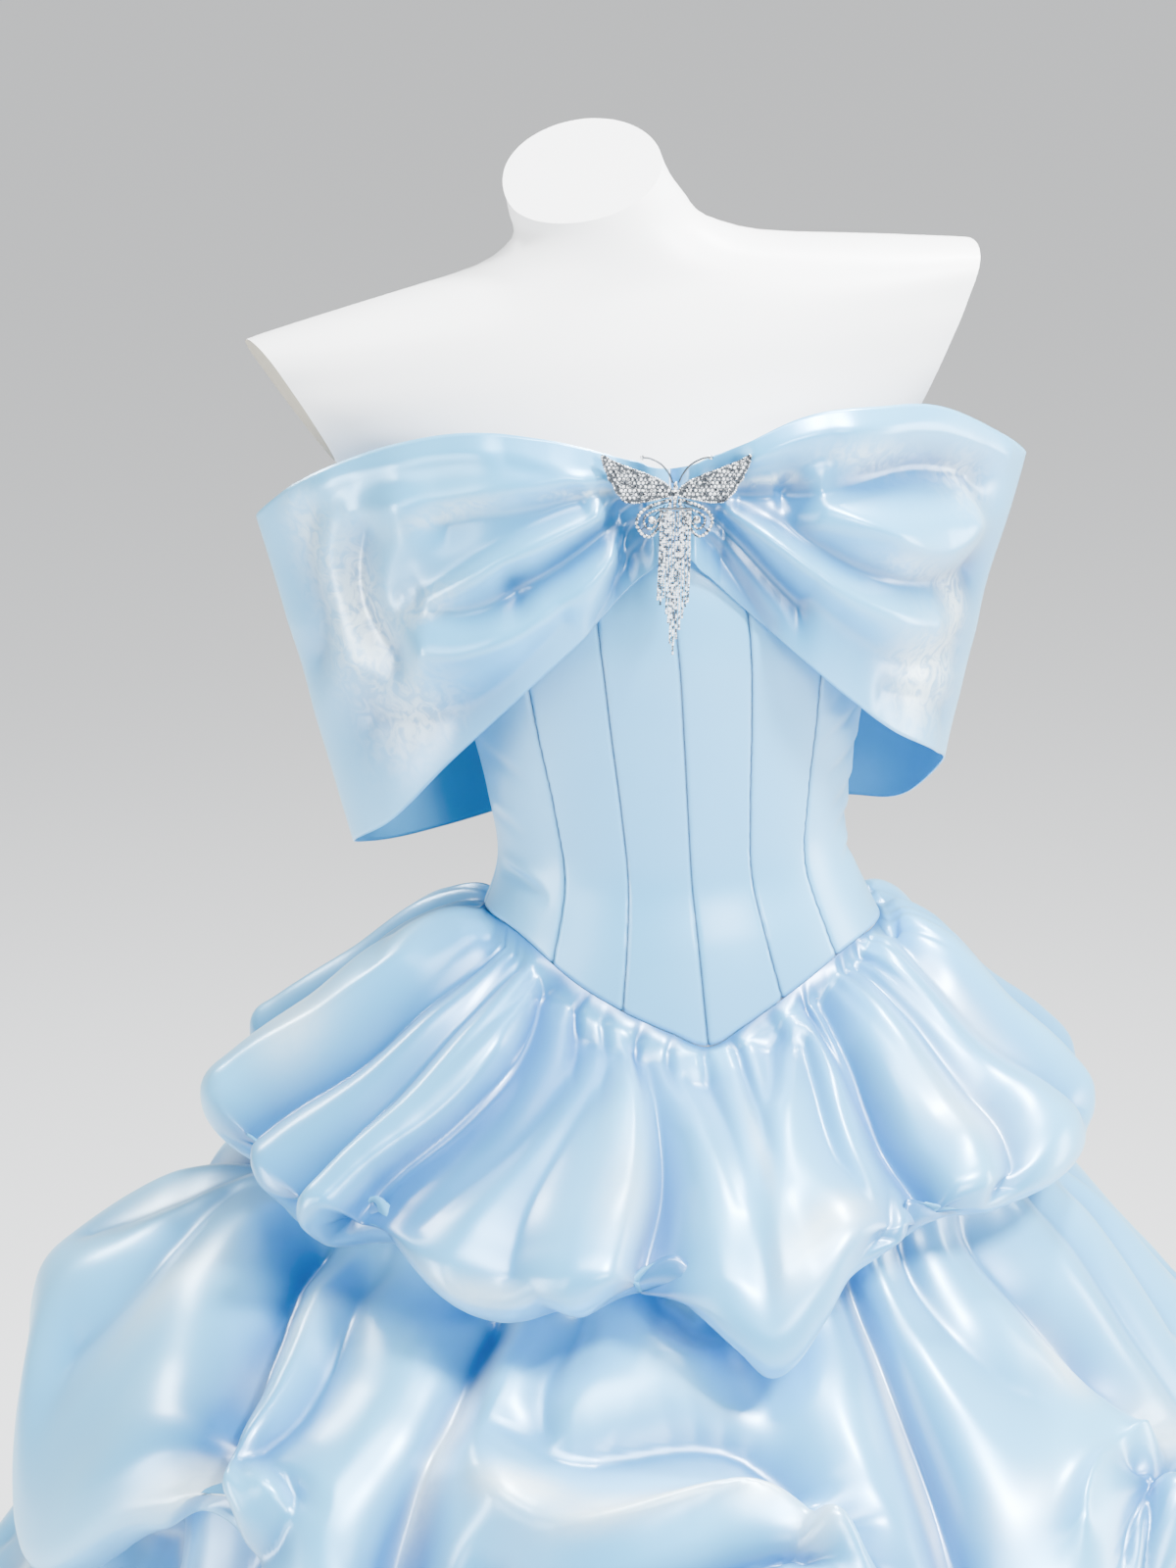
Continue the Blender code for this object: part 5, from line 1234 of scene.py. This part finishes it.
silver, stones = shade_darkened_silver(), cut_crystal()
brooch = Gathered()
for hand in (-1, 1):
    outline = through(UPPER_WING, 120, True) * (hand, 1)
    middle = outline.mean(0)
    rim = np.concatenate((outline, outline))
    levels_z = np.repeat((PLATE_LOW, PLATE_HIGH), len(outline))
    plate = np.column_stack((rim, levels_z))
    count = len(outline)
    wall_faces = [(k, (k + 1) % count, count + (k + 1) % count, count + k)
                  for k in range(count)]
    faces = wall_faces + [tuple(range(count - 1, -1, -1)), tuple(range(count, 2 * count))]
    if hand > 0:
        faces = [face[::-1] for face in faces]
    brooch.add(plate, faces, 0)
    wire = np.column_stack((outline, np.full(count, PLATE_HIGH)))
    brooch.add(*tube(wire, 0.55, 6, True), 0)
    for x, y in spaced(np.vstack((outline, outline[:1])), 1.55)[:-1]:
        brooch.add(*crystal((x, y, PLATE_HIGH + 0.55), 0.68, x), 1)
    for vein in VEINS:
        line = through(vein, 26, False) * (hand, 1)
        brooch.add(*tube(np.column_stack((line, np.full(26, PLATE_HIGH + 0.1))), 0.45, 6,
                         False), 0)
    xs, ys = np.meshgrid(np.arange(3, 46, PAVE_PITCH), np.arange(-4, 25, PAVE_PITCH * 0.87))
    xs = xs + (np.arange(len(ys))[:, None] % 2) * PAVE_PITCH / 2
    bed = np.column_stack((xs.ravel() * hand, ys.ravel()))
    shrunk = middle + (outline - middle) * 0.90
    for x, y in bed[inside(bed, shrunk)]:
        brooch.add(*crystal((x, y, PLATE_HIGH + 0.25), PAVE_RADIUS, x * y), 1)
    teardrop = through(LOWER_WING, 90, True) * (hand, 1)
    heart = np.array((14.0 * hand, -15.5))
    for share, wire_radius, gem in ((1.0, 0.95, 1.15), (INNER_SHARE, 0.70, 0.90)):
        loop_line = heart + (teardrop - heart) * share
        wire = np.column_stack((loop_line, np.full(90, 0.95)))
        brooch.add(*tube(wire, wire_radius, 6, True), 0)
        for x, y in spaced(np.vstack((loop_line, loop_line[:1])), 1.9 * gem + 0.3)[:-1]:
            brooch.add(*crystal((x, y, 1.65), gem, x), 1)
    brooch.add(*crystal((heart[0], heart[1], 1.2), 2.6, 0.2), 1)
    for share in (0.25, 0.5, 0.75):
        start = teardrop[0] + (heart - teardrop[0]) * (share * 0.5)
        end = heart + (teardrop[int(share * 89)] - heart) * 0.98
        line = np.array([start + (end - start) * t for t in np.linspace(0, 1, 8)])
        brooch.add(*tube(np.column_stack((line, np.full(8, 0.9))), 0.40, 6, False), 0)
for y, radius in ((7.2, 1.3), (4.6, 1.7), (1.6, 2.1), (-1.6, 1.9), (-4.4, 1.5), (-6.9, 1.2)):
    brooch.add(*crystal((0, y, 1.3), radius, 0.1), 1)
spine = np.array([(0, y, 0.8) for y in np.linspace(-7.5, 8.0, 12)])
brooch.add(*tube(spine, 1.2, 10, False), 0)
brooch_piece = link_object("butterfly_setting", brooch.mesh("butterfly_setting", BROOCH_PLACE,
                                                            silver, stones),
                           "crystal_silver", "brooch_butterfly")
brooch_piece.data.shade_flat()

for name, hand in (("left", -1), ("right", 1)):
    feeler = Gathered()
    line = through(FEELER, 40, False) * (hand, 1)
    feeler.add(*tube(np.column_stack((line, np.full(40, 1.8))), 0.62, 8, False), 0)
    tip = line[-1]
    for k in range(5):
        at = FULL_TURN * k / 5
        feeler.add(*crystal((tip[0] + 1.0 * math.cos(at), tip[1] + 1.0 * math.sin(at), 1.8),
                            0.62, at), 1)
    made = link_object("feeler_" + name, feeler.mesh("feeler_" + name, BROOCH_PLACE, silver,
                                                     stones),
                       "crystal_silver", "brooch_antenna_" + name)
    made.data.shade_flat()

# ------------------------------------------------------------------ the tassel
# Twelve chains of tiny crystals in square silver cups, hung from one bar under the
# butterfly's body, the longest at the middle.
CHAIN_LENGTHS = (56, 59, 55, 64, 71, 83, 90, 80, 75, 68, 60, 58)
CHAIN_PITCH = 1.7
CHAIN_TOP = -6.0
CHAIN_LEVEL = 4.3
LINK = 1.45              # from one cup to the next
CUP = 0.84

tassel = Gathered()
chain_left = -(len(CHAIN_LENGTHS) - 1) * CHAIN_PITCH / 2
bar = np.array([(x, CHAIN_TOP - 2.0, CHAIN_LEVEL) for x in np.linspace(-10.2, 10.2, 24)])
tassel.add(*tube(bar, 0.9, 8, False), 0)
for k, length in enumerate(CHAIN_LENGTHS):
    x = chain_left + k * CHAIN_PITCH
    drop = np.arange(0, length, LINK)
    sway = 0.25 * np.sin(drop / 13 + k)
    line = np.column_stack((x + sway, CHAIN_TOP - 4.0 - drop, np.full(len(drop), CHAIN_LEVEL)))
    tassel.add(*tube(line, 0.30, 4, False), 0)
    for place in line:
        tassel.add(*crystal(place + (0, 0, 0.15), CUP, 0.39), 1)
tassel_piece = link_object("crystal_tassel", tassel.mesh("crystal_tassel", BROOCH_PLACE,
                                                         silver, stones),
                           "crystal_silver", "brooch_tassel")
tassel_piece.data.shade_flat()
